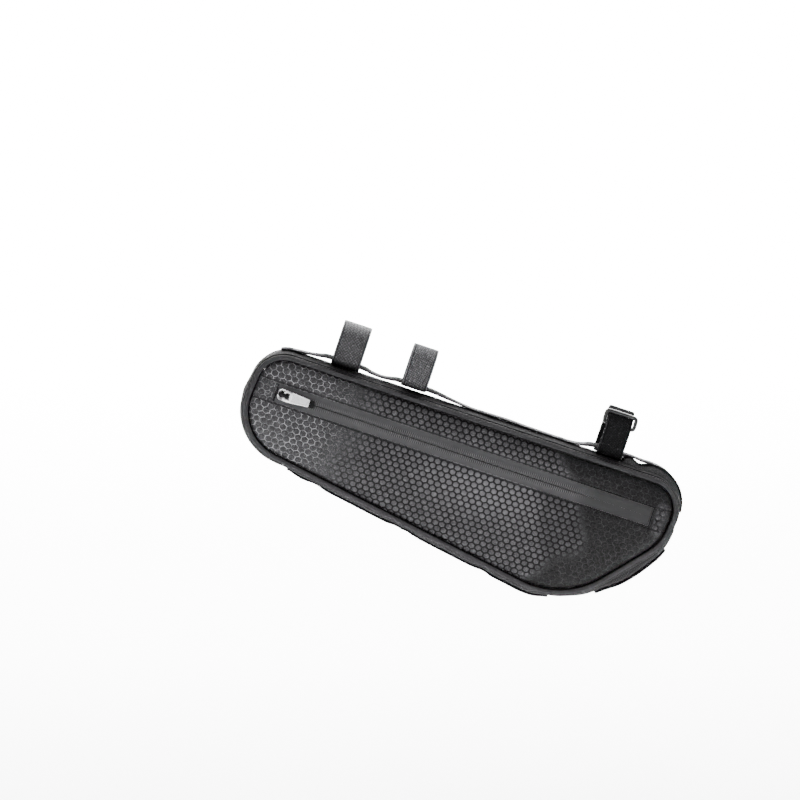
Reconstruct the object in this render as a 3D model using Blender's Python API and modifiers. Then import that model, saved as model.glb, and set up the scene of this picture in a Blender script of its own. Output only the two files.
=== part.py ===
"""A frame bag that hangs from three hook-and-loop straps, which go round a sloping seat.

Lengths are in metres. +X runs to the rear, +Z is up, and the left side of the bag faces -Y. The origin is on the
axis of the round seat that the straps hold, at the middle strap. Every piece is laid out in the seat's own frame,
where x runs along the seat and z stands square to it, and one empty turns them all by the seat's slope.
"""

import math
from collections import namedtuple

import bmesh
import bpy
from mathutils import Matrix, Vector

MM = 0.001

# The round seat that the straps hold
SEAT_SLOPE = math.radians(18.5)
SEAT_DIAMETER = 27.0 * MM
SEAT_GAP = 0.4 * MM

# Between pieces that touch
CLEARANCE = 0.3 * MM

# The bag's body, measured over the piping
BAG_LENGTH = 378.0 * MM
BAG_DEPTH = 121.0 * MM
BAG_WIDTH = 60.0 * MM
PIPING_DIAMETER = 5.0 * MM
PANEL_WALL = 2.5 * MM
PANEL_CROWN = 6.0 * MM
PANEL_SINK = 2.0 * MM
GUSSET_WALL = 2.0 * MM
GUSSET_BULGE = 6.0 * MM
GUSSET_EDGE_RISE = 0.8 * MM
GUSSET_BELLY = 6.0 * MM
BELLY_REACH = 60.0 * MM

# The zip
ZIP_DROP = 30.5 * MM
ZIP_FRONT_MARGIN = 21.0 * MM
ZIP_REAR_MARGIN = 20.5 * MM
ZIP_OPENING = 16.0 * MM
ZIP_CORNER = 1.0 * MM
ZIP_SLIT = 0.4 * MM
TAPE_WALL = 1.2 * MM
TAPE_SINK = 0.4 * MM

# The slider and its pull
SLIDER_LENGTH = 11.0 * MM
SLIDER_WIDTH = 9.5 * MM
SLIDER_WALL = 1.6 * MM
SLIDER_SETBACK = 7.7 * MM
BRIDGE_LENGTH = 8.4 * MM
BRIDGE_WIDTH = 3.4 * MM
BRIDGE_WALL = 1.0 * MM
BRIDGE_OPENING = 3.2 * MM
PULL_LENGTH = 27.0 * MM
PULL_HEAD_WIDTH = 9.5 * MM
PULL_END_WIDTH = 6.4 * MM
PULL_WALL = 1.4 * MM
PULL_BAR = 1.3 * MM
PULL_SIDE_GAP = 0.6 * MM
TIP_LENGTH = 4.5 * MM
TIP_WALL = 2.4 * MM

# Webbing and straps
WEBBING_WIDTH = 20.0 * MM
WEBBING_WALL = 1.5 * MM
FRONT_STRAP_WIDTH = 25.0 * MM
STRAP_WIDTH = 22.0 * MM
STRAP_WALL = 1.8 * MM
STRAP_SLACK = 1.5 * MM
STRAP_CORNER = 4.0 * MM
SLACK_UNDER_STRAPS = 3.2 * MM
RING_BAR = 2.4 * MM
RING_SIDE_GAP = 1.2 * MM
FOLD_RISE = 2.4 * MM
WEBBING_ARCH = 6.4 * MM
WEBBING_MARGIN = 2.0 * MM

# How finely round shapes are divided
ARC_STEPS = 7
SIDE_SPACING = 42.0 * MM
LOOP_STEP = 0.15

# On a strap's loop, counted in quarter turns: where its side and its low corner end on the way to the middle of
# the run under the webbing, and where the strap changes from its inner lane to its outer one
LOOP_SIDE_SHARE = 0.35
LOOP_CORNER_SHARE = 0.65
LANE_CHANGE_START = 1.70
LANE_CHANGE_END = 2.30

# The outline of the piping. Along is a share of BAG_LENGTH from its front end, drop a share of BAG_DEPTH from
# its top, radius a share of BAG_DEPTH, and bulge how much of GUSSET_BULGE the gusset has there. The side that
# follows the corner BELLY_SIDE is fuller by GUSSET_BELLY at its middle, fading out BELLY_REACH away.
OutlineCorner = namedtuple("OutlineCorner", "name along drop radius bulge")
OUTLINE = [
    OutlineCorner("front top", 0.009, 0.000, 0.203, 0.75),
    OutlineCorner("rear top", 1.006, 0.000, 0.215, 0.75),
    OutlineCorner("rear", 0.994, 0.420, 0.348, 1.00),
    OutlineCorner("rear bottom", 0.823, 1.044, 0.602, 1.15),
    OutlineCorner("front bottom", -0.009, 0.645, 0.357, 0.98),
]
BELLY_SIDE = 2
BELLY_STEPS = 4

# The crown of a panel. Inward is the share of the way from the piping to the zip, and rise how much of PANEL_CROWN
# it has risen there.
CrownRing = namedtuple("CrownRing", "inward rise")
CROWN = [
    CrownRing(0.00, 0.00),
    CrownRing(0.15, 0.48),
    CrownRing(0.40, 0.84),
    CrownRing(0.72, 0.98),
    CrownRing(1.00, 1.00),
]
GUSSET_COLUMNS = [-1.00, -0.70, -0.35, 0.00, 0.35, 0.70, 1.00]

# The straps. Along is a share of BAG_LENGTH. Start and end are counted in quarter turns from the top of the loop
# towards the left side: the inner layer starts at the one, and the outer layer ends at the other. Fold is how much
# of FOLD_RISE the outer layer stands up over the top, where it is bunched above the loop bar.
StrapRow = namedtuple("StrapRow", "name along width lane start end fold")
STRAPS = [
    StrapRow("front_strap", 0.185, FRONT_STRAP_WIDTH, STRAP_WALL, -0.60, 1.60, 0.0),
    StrapRow("middle_strap", 0.348, STRAP_WIDTH, STRAP_WALL, -0.60, 1.50, 0.0),
    StrapRow("rear_strap", 0.816, STRAP_WIDTH, RING_BAR, 0.85, 1.65, 1.0),
]
MIDDLE_STRAP, REAR_STRAP = STRAPS[1:]
RING_LOW_TURN = 0.70
RING_HIGH_TURN = 0.36
FOLD_START = 3.40
FOLD_TOP = 3.95
FOLD_END = 4.22

# How the top webbing rises between the places where it is sewn down and the straps that lift it. Share runs
# along each span, and lift is how far it is pulled up from the gusset to the seat.
WebbingPoint = namedtuple("WebbingPoint", "share lift")
WEBBING_BEFORE_FRONT = [WebbingPoint(0.00, 0.00), WebbingPoint(0.35, 0.22), WebbingPoint(0.70, 0.62)]
WEBBING_FRONT_TO_MIDDLE = [WebbingPoint(0.25, 0.62), WebbingPoint(0.52, 0.45), WebbingPoint(0.78, 0.70)]
WEBBING_MIDDLE_TO_REAR = [
    WebbingPoint(0.07, 0.80),
    WebbingPoint(0.15, 0.40),
    WebbingPoint(0.23, 0.10),
    WebbingPoint(0.30, 0.00),
    WebbingPoint(0.48, 0.12),
    WebbingPoint(0.62, 0.00),
    WebbingPoint(0.86, 0.00),
    WebbingPoint(0.93, 0.35),
]
WEBBING_AFTER_REAR = [WebbingPoint(0.50, 0.95), WebbingPoint(1.00, 0.86)]
WEBBING_REAR_CORNER = [WebbingPoint(0.00, 0.86), WebbingPoint(0.50, 0.40), WebbingPoint(0.85, 0.00)]

# The webbing along the bottom and up the rear. Share runs along each strip's length, from its rear end on the
# bottom and from its upper end on the rear, and lift is how much of WEBBING_ARCH it stands up from the gusset. The
# bottom one starts on the corner before its side, and ends at a share of that side.
BOTTOM_WEBBING_CORNER_STEPS = 2.5
BOTTOM_WEBBING_END = 0.937
BOTTOM_WEBBING = [
    WebbingPoint(0.00, 0.00),
    WebbingPoint(0.04, 0.06),
    WebbingPoint(0.20, 0.06),
    WebbingPoint(0.24, 0.00),
    WebbingPoint(0.28, 0.06),
    WebbingPoint(0.49, 0.06),
    WebbingPoint(0.53, 0.00),
    WebbingPoint(0.57, 0.00),
    WebbingPoint(0.61, 0.06),
    WebbingPoint(0.84, 0.06),
    WebbingPoint(0.88, 0.00),
    WebbingPoint(0.94, 0.06),
    WebbingPoint(1.00, 0.00),
]
BOTTOM_WEBBING_STEPS = 24
REAR_WEBBING = [
    WebbingPoint(0.00, 0.00),
    WebbingPoint(0.20, 0.06),
    WebbingPoint(0.80, 0.06),
    WebbingPoint(1.00, 0.00),
]
REAR_WEBBING_STEPS = 2 * BELLY_STEPS
REAR_WEBBING_UPPER_STEPS = 3
REAR_WEBBING_LOWER_STEPS = 1

# Worked out from the sizes above
PIPING_RADIUS = PIPING_DIAMETER / 2
SEAT_RADIUS = SEAT_DIAMETER / 2
LIFTED_WEBBING = SEAT_RADIUS + SEAT_GAP + WEBBING_WALL
STRAP_DEPTH = LIFTED_WEBBING + CLEARANCE
GUSSET_TOP_RISE = GUSSET_EDGE_RISE + OUTLINE[0].bulge * GUSSET_BULGE
PIPING_DROP = STRAP_DEPTH + STRAP_WALL + SLACK_UNDER_STRAPS + GUSSET_TOP_RISE
STRAP_RADIUS = SEAT_RADIUS + STRAP_SLACK
FRONT_END = -MIDDLE_STRAP.along * BAG_LENGTH
REAR_END = FRONT_END + BAG_LENGTH
PIPING_Y = BAG_WIDTH / 2 - PIPING_RADIUS
GUSSET_HALF = PIPING_Y - PIPING_RADIUS - CLEARANCE
PANEL_EDGE_Y = BAG_WIDTH / 2 - PANEL_SINK
PANEL_TOP_Y = PANEL_EDGE_Y + PANEL_CROWN
ZIP_Z = -PIPING_DROP - ZIP_DROP
ZIP_FRONT = FRONT_END + ZIP_FRONT_MARGIN
ZIP_REAR = REAR_END - ZIP_REAR_MARGIN
TAPE_FACE_Y = PANEL_TOP_Y - TAPE_SINK
PLATE_TOP_Y = TAPE_FACE_Y + CLEARANCE + SLIDER_WALL
HINGE_HEIGHT = BRIDGE_OPENING / 2
HINGE_Y = PLATE_TOP_Y + HINGE_HEIGHT
HINGE_X = ZIP_FRONT + SLIDER_SETBACK


def clear_scene():
    for old in list(bpy.data.objects):
        bpy.data.objects.remove(old, do_unlink=True)


def new_collection(name, hidden=False):
    collection = bpy.data.collections.new(name)
    bpy.context.scene.collection.children.link(collection)
    collection.hide_render = hidden
    return collection


def make_material(name, color, roughness, metallic=0.0):
    material = bpy.data.materials.new(name)
    material.use_nodes = True
    shader = material.node_tree.nodes["Principled BSDF"]
    shader.inputs["Base Color"].default_value = (*color, 1.0)
    shader.inputs["Roughness"].default_value = roughness
    shader.inputs["Metallic"].default_value = metallic
    return material


def add_piece(name, data, material, collection, parent):
    piece = bpy.data.objects.new(name, data)
    collection.objects.link(piece)
    piece.parent = parent
    piece.data.materials.append(material)
    return piece


def add_empty(name, collection, parent=None):
    empty = bpy.data.objects.new(name, None)
    empty.empty_display_size = 20.0 * MM
    collection.objects.link(empty)
    empty.parent = parent
    return empty


def smooth(piece, angle=35.0):
    piece.data.shade_smooth()
    piece.data.set_sharp_from_angle(angle=math.radians(angle))


def thicken(piece, wall, offset):
    """Gives an open surface its wall. Offset -1 grows it inwards, against the normals, and 1 outwards."""
    modifier = piece.modifiers.new("Wall", "SOLIDIFY")
    modifier.thickness = wall
    modifier.offset = offset
    modifier.use_even_offset = True
    return modifier


def strip_mesh(name, rows, closed, flip=False, cap=False):
    """Joins rows of points with quads. Closed rows are rings, and cap fills the last one with one face."""
    mesh = bpy.data.meshes.new(name)
    shape = bmesh.new()
    made = [[shape.verts.new(point) for point in row] for row in rows]
    count = len(rows[0])
    steps = count if closed else count - 1
    for lower, upper in zip(made, made[1:]):
        for index in range(steps):
            after = (index + 1) % count
            corners = [lower[index], lower[after], upper[after], upper[index]]
            shape.faces.new(corners[::-1] if flip else corners)
    if cap:
        shape.faces.new(made[-1][::-1] if flip else made[-1])
    shape.to_mesh(mesh)
    shape.free()
    return mesh


def flat_curve(name, outlines, thickness):
    """A flat plate in its own XY plane from closed outlines, the later ones being holes."""
    curve = bpy.data.curves.new(name, "CURVE")
    curve.dimensions = "2D"
    curve.fill_mode = "BOTH"
    curve.extrude = thickness / 2
    for outline in outlines:
        spline = curve.splines.new("POLY")
        spline.points.add(len(outline) - 1)
        for place, point in zip(spline.points, outline):
            place.co = (point[0], point[1], 0.0, 1.0)
        spline.use_cyclic_u = True
    return curve


def round_bar(name, points, diameter):
    """A closed round cord or bar through the points."""
    curve = bpy.data.curves.new(name, "CURVE")
    curve.dimensions = "3D"
    curve.bevel_depth = diameter / 2
    curve.bevel_resolution = 2
    spline = curve.splines.new("POLY")
    spline.points.add(len(points) - 1)
    for place, point in zip(spline.points, points):
        place.co = (*point, 1.0)
    spline.use_cyclic_u = True
    return curve


Corner = namedtuple("Corner", "point radius")
Spot = namedtuple("Spot", "point normal bulge")


def corner_arc(before, corner, after, steps):
    """Points and outward normals round one corner of an outline that runs clockwise."""
    to_before = (before.point - corner.point).normalized()
    to_after = (after.point - corner.point).normalized()
    half = to_before.angle(to_after) / 2
    centre = corner.point + (to_before + to_after).normalized() * (corner.radius / math.sin(half))
    first = corner.point + to_before * (corner.radius / math.tan(half)) - centre
    turn = math.pi - 2 * half
    arc = []
    for step in range(steps + 1):
        normal = Matrix.Rotation(-turn * step / steps, 2) @ first.normalized()
        arc.append((centre + normal * corner.radius, normal))
    return arc


def rounded(corners, steps):
    """The points of a closed clockwise outline with rounded corners."""
    points = []
    for index, corner in enumerate(corners):
        after = corners[(index + 1) % len(corners)]
        points += [point for point, _ in corner_arc(corners[index - 1], corner, after, steps)]
    return points


def rounded_box(left, right, low, high, radius, steps=3):
    places = [(left, high), (right, high), (right, low), (left, low)]
    return rounded([Corner(Vector(place), radius) for place in places], steps)


def bag_arcs():
    """The rounded corners of the piping's outline, each a list of points and outward normals."""
    corners = []
    for row in OUTLINE:
        place = Vector((FRONT_END + row.along * BAG_LENGTH, -PIPING_DROP - row.drop * BAG_DEPTH))
        corners.append(Corner(place, row.radius * BAG_DEPTH))
    arcs = []
    for index, corner in enumerate(corners):
        after = corners[(index + 1) % len(corners)]
        arcs.append(corner_arc(corners[index - 1], corner, after, ARC_STEPS))
    return arcs


def belly(arcs, point):
    """How much fuller the gusset is at a place on the outline, near the middle of the side BELLY_SIDE."""
    middle = arcs[BELLY_SIDE][-1][0].lerp(arcs[BELLY_SIDE + 1][0][0], 0.5)
    away = min((point - middle).length / BELLY_REACH, 1.0)
    return GUSSET_BELLY * math.cos(away * math.pi / 2) ** 2


def side_spot(arcs, index, share):
    """A spot on the straight side that follows a corner."""
    after = (index + 1) % len(arcs)
    start, normal = arcs[index][-1]
    point = start.lerp(arcs[after][0][0], share)
    low = OUTLINE[index].bulge * GUSSET_BULGE
    high = OUTLINE[after].bulge * GUSSET_BULGE
    return Spot(point, normal, low + (high - low) * share + belly(arcs, point))


def side_stations(arcs, index, low, high, steps):
    return [side_spot(arcs, index, low + (high - low) * step / steps) for step in range(steps + 1)]


def corner_spot(arcs, index, step):
    """A spot on a corner, counted in steps of its arc. Between two steps it lies on their chord."""
    low = min(math.floor(step), ARC_STEPS - 1)
    (start, start_normal), (end, end_normal) = arcs[index][low : low + 2]
    point = start.lerp(end, step - low)
    normal = start_normal.lerp(end_normal, step - low).normalized()
    return Spot(point, normal, OUTLINE[index].bulge * GUSSET_BULGE + belly(arcs, point))


def corner_stations(arcs, index, first, last):
    """Every spot of one corner between two of its steps. Webbing that lies on a bend needs them all."""
    between = range(math.floor(first) + 1, last + 1)
    return [corner_spot(arcs, index, step) for step in (first, *between)]


def bag_spots(arcs):
    """The whole outline of the piping, clockwise from the front top corner."""
    spots = []
    for index, arc in enumerate(arcs):
        spots += corner_stations(arcs, index, 0, ARC_STEPS)
        length = (arcs[(index + 1) % len(arcs)][0][0] - arc[-1][0]).length
        steps = BELLY_STEPS if index == BELLY_SIDE else max(1, round(length / SIDE_SPACING))
        spots += side_stations(arcs, index, 0.0, 1.0, steps)[1:-1]
    return spots


def opening_edge(point):
    """The place on the edge of the zip's opening that is nearest to a point outside it."""
    low = ZIP_Z - ZIP_OPENING / 2 + ZIP_CORNER
    high = ZIP_Z + ZIP_OPENING / 2 - ZIP_CORNER
    core_x = min(max(point.x, ZIP_FRONT + ZIP_CORNER), ZIP_REAR - ZIP_CORNER)
    core = Vector((core_x, min(max(point.y, low), high)))
    return core + (point - core).normalized() * ZIP_CORNER


def make_panel(name, side, spots, material, collection, parent):
    """A crowned panel. The left one is open for the zip, and the right one is whole."""
    rows = []
    for ring in CROWN:
        height = side * (PANEL_EDGE_Y + ring.rise * PANEL_CROWN)
        row = []
        for spot in spots:
            outer = spot.point - spot.normal * (PIPING_RADIUS + CLEARANCE)
            place = outer.lerp(opening_edge(outer), ring.inward)
            row.append((place.x, height, place.y))
        rows.append(row)
    left = side < 0
    mesh = strip_mesh(name, rows, closed=True, flip=left, cap=not left)
    panel = add_piece(name, mesh, material, collection, parent)
    thicken(panel, PANEL_WALL, -1)
    smooth(panel)


def make_gusset(spots, material, collection, parent):
    """The woven band between the two pipings, bulging outwards along its middle."""
    rows = []
    for column in GUSSET_COLUMNS:
        row = []
        for spot in spots:
            place = spot.point + spot.normal * (GUSSET_EDGE_RISE + spot.bulge * (1 - column**2))
            row.append((place.x, column * GUSSET_HALF, place.y))
        rows.append(row)
    gusset = add_piece("gusset", strip_mesh("gusset", rows, closed=True), material, collection, parent)
    thicken(gusset, GUSSET_WALL, -1)
    smooth(gusset)


def make_piping(name, side, spots, material, collection, parent):
    points = [(spot.point.x, side * PIPING_Y, spot.point.y) for spot in spots]
    add_piece(name, round_bar(name, points, PIPING_DIAMETER), material, collection, parent)


def make_ribbon(name, path, across, wall, material, collection, parent):
    """Webbing or strap, from a path along its inner face, the vector across its width, and its wall."""
    rows = [[place - across / 2 for place in path], [place + across / 2 for place in path]]
    ribbon = add_piece(name, strip_mesh(name, rows, closed=False), material, collection, parent)
    thicken(ribbon, wall, 1)
    smooth(ribbon)


def over_gusset(spot, extra=0.0):
    """A place on the inner face of webbing that lies on the gusset's middle, or stands up from it by extra."""
    place = spot.point + spot.normal * (GUSSET_EDGE_RISE + spot.bulge + CLEARANCE + extra)
    return Vector((place.x, 0.0, place.y))


def top_webbing_path(arcs):
    """Along the top of the gusset, pulled up to the seat at each strap."""
    front = arcs[0][-1][0].x
    rear = arcs[1][0][0].x
    edges = [front]
    for strap in STRAPS:
        middle = FRONT_END + strap.along * BAG_LENGTH
        half = strap.width / 2 + WEBBING_MARGIN
        edges += [middle - half, middle + half]
    edges.append(rear)
    spans = [
        (edges[0], edges[1], WEBBING_BEFORE_FRONT + [WebbingPoint(1.0, 1.0)]),
        (edges[1], edges[2], [WebbingPoint(1.0, 1.0)]),
        (edges[2], edges[3], WEBBING_FRONT_TO_MIDDLE + [WebbingPoint(1.0, 1.0)]),
        (edges[3], edges[4], [WebbingPoint(1.0, 1.0)]),
        (edges[4], edges[5], WEBBING_MIDDLE_TO_REAR + [WebbingPoint(1.0, 1.0)]),
        (edges[5], edges[6], [WebbingPoint(1.0, 1.0)]),
        (edges[6], edges[7], WEBBING_AFTER_REAR),
    ]
    path = [over_gusset(spot) for spot in corner_stations(arcs, 0, ARC_STEPS - 2, ARC_STEPS - 1)]
    for low, high, rows in spans:
        for row in rows:
            x = low + (high - low) * row.share
            flat = over_gusset(side_spot(arcs, 0, (x - front) / (rear - front)))
            path.append(Vector((x, 0.0, flat.z + (-LIFTED_WEBBING - flat.z) * row.lift)))
    full_lift = -LIFTED_WEBBING - over_gusset(side_spot(arcs, 0, 1.0)).z
    for step, spot in enumerate(corner_stations(arcs, 1, 1, ARC_STEPS - 1), start=1):
        path.append(over_gusset(spot, full_lift * lift_at(WEBBING_REAR_CORNER, step / ARC_STEPS)))
    return path


def lift_at(rows, share):
    """Reads a table of webbing points between its rows."""
    for low, high in zip(rows, rows[1:]):
        if share <= high.share:
            part = (share - low.share) / (high.share - low.share)
            return low.lift + (high.lift - low.lift) * max(part, 0.0)
    return rows[-1].lift


def arched_path(stations, rows):
    """Webbing over these stations, standing up from the gusset by its table's share of the arch."""
    lengths = [0.0]
    for start, end in zip(stations, stations[1:]):
        lengths.append(lengths[-1] + (end.point - start.point).length)
    path = []
    for spot, length in zip(stations, lengths):
        path.append(over_gusset(spot, WEBBING_ARCH * lift_at(rows, length / lengths[-1])))
    return path


def loop_place(turn, rise):
    """A place on a strap's loop, counted in quarter turns from the top towards the left side and round under the
    webbing, and standing out from its inner face by rise."""
    turn %= 4.0
    low = STRAP_DEPTH - STRAP_CORNER
    flat = STRAP_RADIUS - STRAP_CORNER
    if turn <= 1.0 or turn >= 3.0:
        angle = turn * math.pi / 2
        return Vector((0.0, -math.sin(angle), math.cos(angle))) * (STRAP_RADIUS + rise)
    mirrored = turn > 2.0
    share = 4.0 - turn - 1.0 if mirrored else turn - 1.0
    if share <= LOOP_SIDE_SHARE:
        place = Vector((0.0, -STRAP_RADIUS - rise, -low * share / LOOP_SIDE_SHARE))
    elif share <= LOOP_CORNER_SHARE:
        angle = (share - LOOP_SIDE_SHARE) / (LOOP_CORNER_SHARE - LOOP_SIDE_SHARE) * math.pi / 2
        corner = Vector((0.0, -flat, -low))
        place = corner - Vector((0.0, math.cos(angle), math.sin(angle))) * (STRAP_CORNER + rise)
    else:
        run = (share - LOOP_CORNER_SHARE) / (1.0 - LOOP_CORNER_SHARE)
        place = Vector((0.0, -flat * (1.0 - run), -STRAP_DEPTH - rise))
    if mirrored:
        place.y = -place.y
    return place


def ramp(value, low, high):
    """Goes from 0 at low to 1 at high, and stays level outside them."""
    return min(max((value - low) / (high - low), 0.0), 1.0)


def strap_path(strap):
    """From the start of the inner layer once round and on over it, which lifts it by one lane."""
    x = FRONT_END + strap.along * BAG_LENGTH
    lane = strap.lane + CLEARANCE
    path = []
    last = 4.0 + strap.end
    steps = math.ceil((last - strap.start) / LOOP_STEP)
    for step in range(steps + 1):
        turn = strap.start + (last - strap.start) * step / steps
        climb = ramp(turn, LANE_CHANGE_START, LANE_CHANGE_END)
        bunch = min(ramp(turn, FOLD_START, FOLD_TOP), ramp(turn, FOLD_END, FOLD_TOP))
        rise = lane * climb + strap.fold * FOLD_RISE * bunch
        path.append(loop_place(turn, rise) + Vector((x, 0.0, 0.0)))
    return path


def make_strap(strap, material, collection, parent):
    across = Vector((strap.width, 0.0, 0.0))
    make_ribbon(strap.name, strap_path(strap), across, STRAP_WALL, material, collection, parent)


def make_strap_ring(material, collection, parent):
    """A rectangular loop. The outer layer of the rear strap goes over its low bar and under its high one."""
    x = FRONT_END + REAR_STRAP.along * BAG_LENGTH
    half = REAR_STRAP.width / 2 + RING_SIDE_GAP + RING_BAR / 2
    low = loop_place(RING_LOW_TURN, RING_BAR / 2)
    high = loop_place(RING_HIGH_TURN, REAR_STRAP.lane + STRAP_WALL + 2 * CLEARANCE + RING_BAR / 2)
    length = (high - low).length
    up = (high - low).normalized()
    outline = rounded_box(-half, half, 0.0, length, RING_BAR)
    points = [low + up * point.y + Vector((x + point.x, 0.0, 0.0)) for point in outline]
    add_piece("rear_strap_ring", round_bar("rear_strap_ring", points, RING_BAR), material, collection, parent)


def make_box(name, size, centre, material, collection, parent):
    mesh = bpy.data.meshes.new(name)
    shape = bmesh.new()
    bmesh.ops.create_cube(shape, size=1.0)
    bmesh.ops.scale(shape, vec=size, verts=shape.verts)
    bmesh.ops.translate(shape, vec=centre, verts=shape.verts)
    shape.to_mesh(mesh)
    shape.free()
    return add_piece(name, mesh, material, collection, parent)


def soften(piece, width, segments=1):
    modifier = piece.modifiers.new("Edges", "BEVEL")
    modifier.width = width
    modifier.segments = segments
    modifier.limit_method = "ANGLE"


def make_zip_tape(name, side, material, collection, parent):
    """One half of the zip. It fills its half of the opening, from the slit in the middle to the panel."""
    height = ZIP_OPENING / 2 - CLEARANCE - ZIP_SLIT / 2
    size = (ZIP_REAR - ZIP_FRONT - 2 * CLEARANCE, TAPE_WALL, height)
    centre_z = ZIP_Z + side * (ZIP_SLIT / 2 + height / 2)
    centre = ((ZIP_FRONT + ZIP_REAR) / 2, -TAPE_FACE_Y + TAPE_WALL / 2, centre_z)
    tape = make_box(name, size, centre, material, collection, parent)
    soften(tape, ZIP_CORNER)


def make_slider(material, collection, cutters, parent):
    """A plate on the tape with a bridge over it, under which the pull's bar turns."""
    middle = Vector((HINGE_X, -HINGE_Y, ZIP_Z))
    half = BRIDGE_OPENING / 2
    outer = rounded_box(
        -BRIDGE_LENGTH / 2, BRIDGE_LENGTH / 2, -half - BRIDGE_WALL, half + BRIDGE_WALL, half
    )
    inner = rounded_box(
        -BRIDGE_LENGTH / 2 + BRIDGE_WALL, BRIDGE_LENGTH / 2 - BRIDGE_WALL, -half, half, half * 0.9
    )
    bridge_curve = flat_curve("slider_bridge", [outer, inner], BRIDGE_WIDTH)
    bridge_flat = bpy.data.objects.new("slider_bridge_curve", bridge_curve)
    cutters.objects.link(bridge_flat)
    bpy.context.view_layer.update()
    graph = bpy.context.evaluated_depsgraph_get()
    bridge_mesh = bpy.data.meshes.new_from_object(bridge_flat.evaluated_get(graph))
    weld(bridge_mesh)
    bpy.data.objects.remove(bridge_flat)
    bridge = bpy.data.objects.new("slider_bridge", bridge_mesh)
    cutters.objects.link(bridge)
    bridge.parent = parent
    bridge.location = middle
    bridge.hide_render = True
    bridge.display_type = "WIRE"

    size = (SLIDER_LENGTH, SLIDER_WALL, SLIDER_WIDTH)
    centre = (HINGE_X, -PLATE_TOP_Y + SLIDER_WALL / 2, ZIP_Z)
    slider = make_box("zip_slider", size, centre, material, collection, parent)
    soften(slider, SLIDER_WALL * 0.4, segments=2)
    join = slider.modifiers.new("Bridge", "BOOLEAN")
    join.operation = "UNION"
    join.object = bridge


def weld(mesh):
    shape = bmesh.new()
    shape.from_mesh(mesh)
    bmesh.ops.remove_doubles(shape, verts=shape.verts, dist=0.001 * MM)
    bmesh.ops.recalc_face_normals(shape, faces=shape.faces)
    shape.to_mesh(mesh)
    shape.free()


def make_pull(metal, rubber, collection, parent):
    """The tab and its moulded end. Their parent empty stands on the hinge, so that they turn about its z axis."""
    hinge = add_empty("zip_hinge", collection, parent)
    hinge.location = (HINGE_X, -HINGE_Y, ZIP_Z)
    drop = HINGE_Y - TAPE_FACE_Y - TIP_WALL / 2 - CLEARANCE
    hinge.rotation_euler = (0.0, 0.0, math.asin(drop / PULL_LENGTH))

    tab_end = PULL_LENGTH - TIP_LENGTH
    window_half = BRIDGE_WIDTH / 2 + PULL_SIDE_GAP
    window_end = BRIDGE_LENGTH / 2 + PULL_SIDE_GAP
    head = PULL_HEAD_WIDTH / 2
    end = PULL_END_WIDTH / 2
    outline = rounded(
        [
            Corner(Vector((-PULL_BAR / 2, head)), 1.2 * MM),
            Corner(Vector((window_end, head)), 2.0 * MM),
            Corner(Vector((tab_end, end)), 0.2 * MM),
            Corner(Vector((tab_end, -end)), 0.2 * MM),
            Corner(Vector((window_end, -head)), 2.0 * MM),
            Corner(Vector((-PULL_BAR / 2, -head)), 1.2 * MM),
        ],
        3,
    )
    window = rounded_box(PULL_BAR / 2, window_end, -window_half, window_half, 0.4 * MM, 2)
    pull = add_piece("zip_pull", flat_curve("zip_pull", [outline, window], PULL_WALL), metal, collection, hinge)
    pull.rotation_euler = (math.radians(90.0), 0.0, 0.0)

    start = tab_end + CLEARANCE
    tip_outline = rounded(
        [
            Corner(Vector((start, end)), 0.5 * MM),
            Corner(Vector((PULL_LENGTH, end * 0.85)), 1.6 * MM),
            Corner(Vector((PULL_LENGTH, -end * 0.85)), 1.6 * MM),
            Corner(Vector((start, -end)), 0.5 * MM),
        ],
        3,
    )
    tip = add_piece("zip_pull_tip", flat_curve("zip_pull_tip", [tip_outline], TIP_WALL), rubber, collection, hinge)
    tip.rotation_euler = (math.radians(90.0), 0.0, 0.0)


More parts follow.
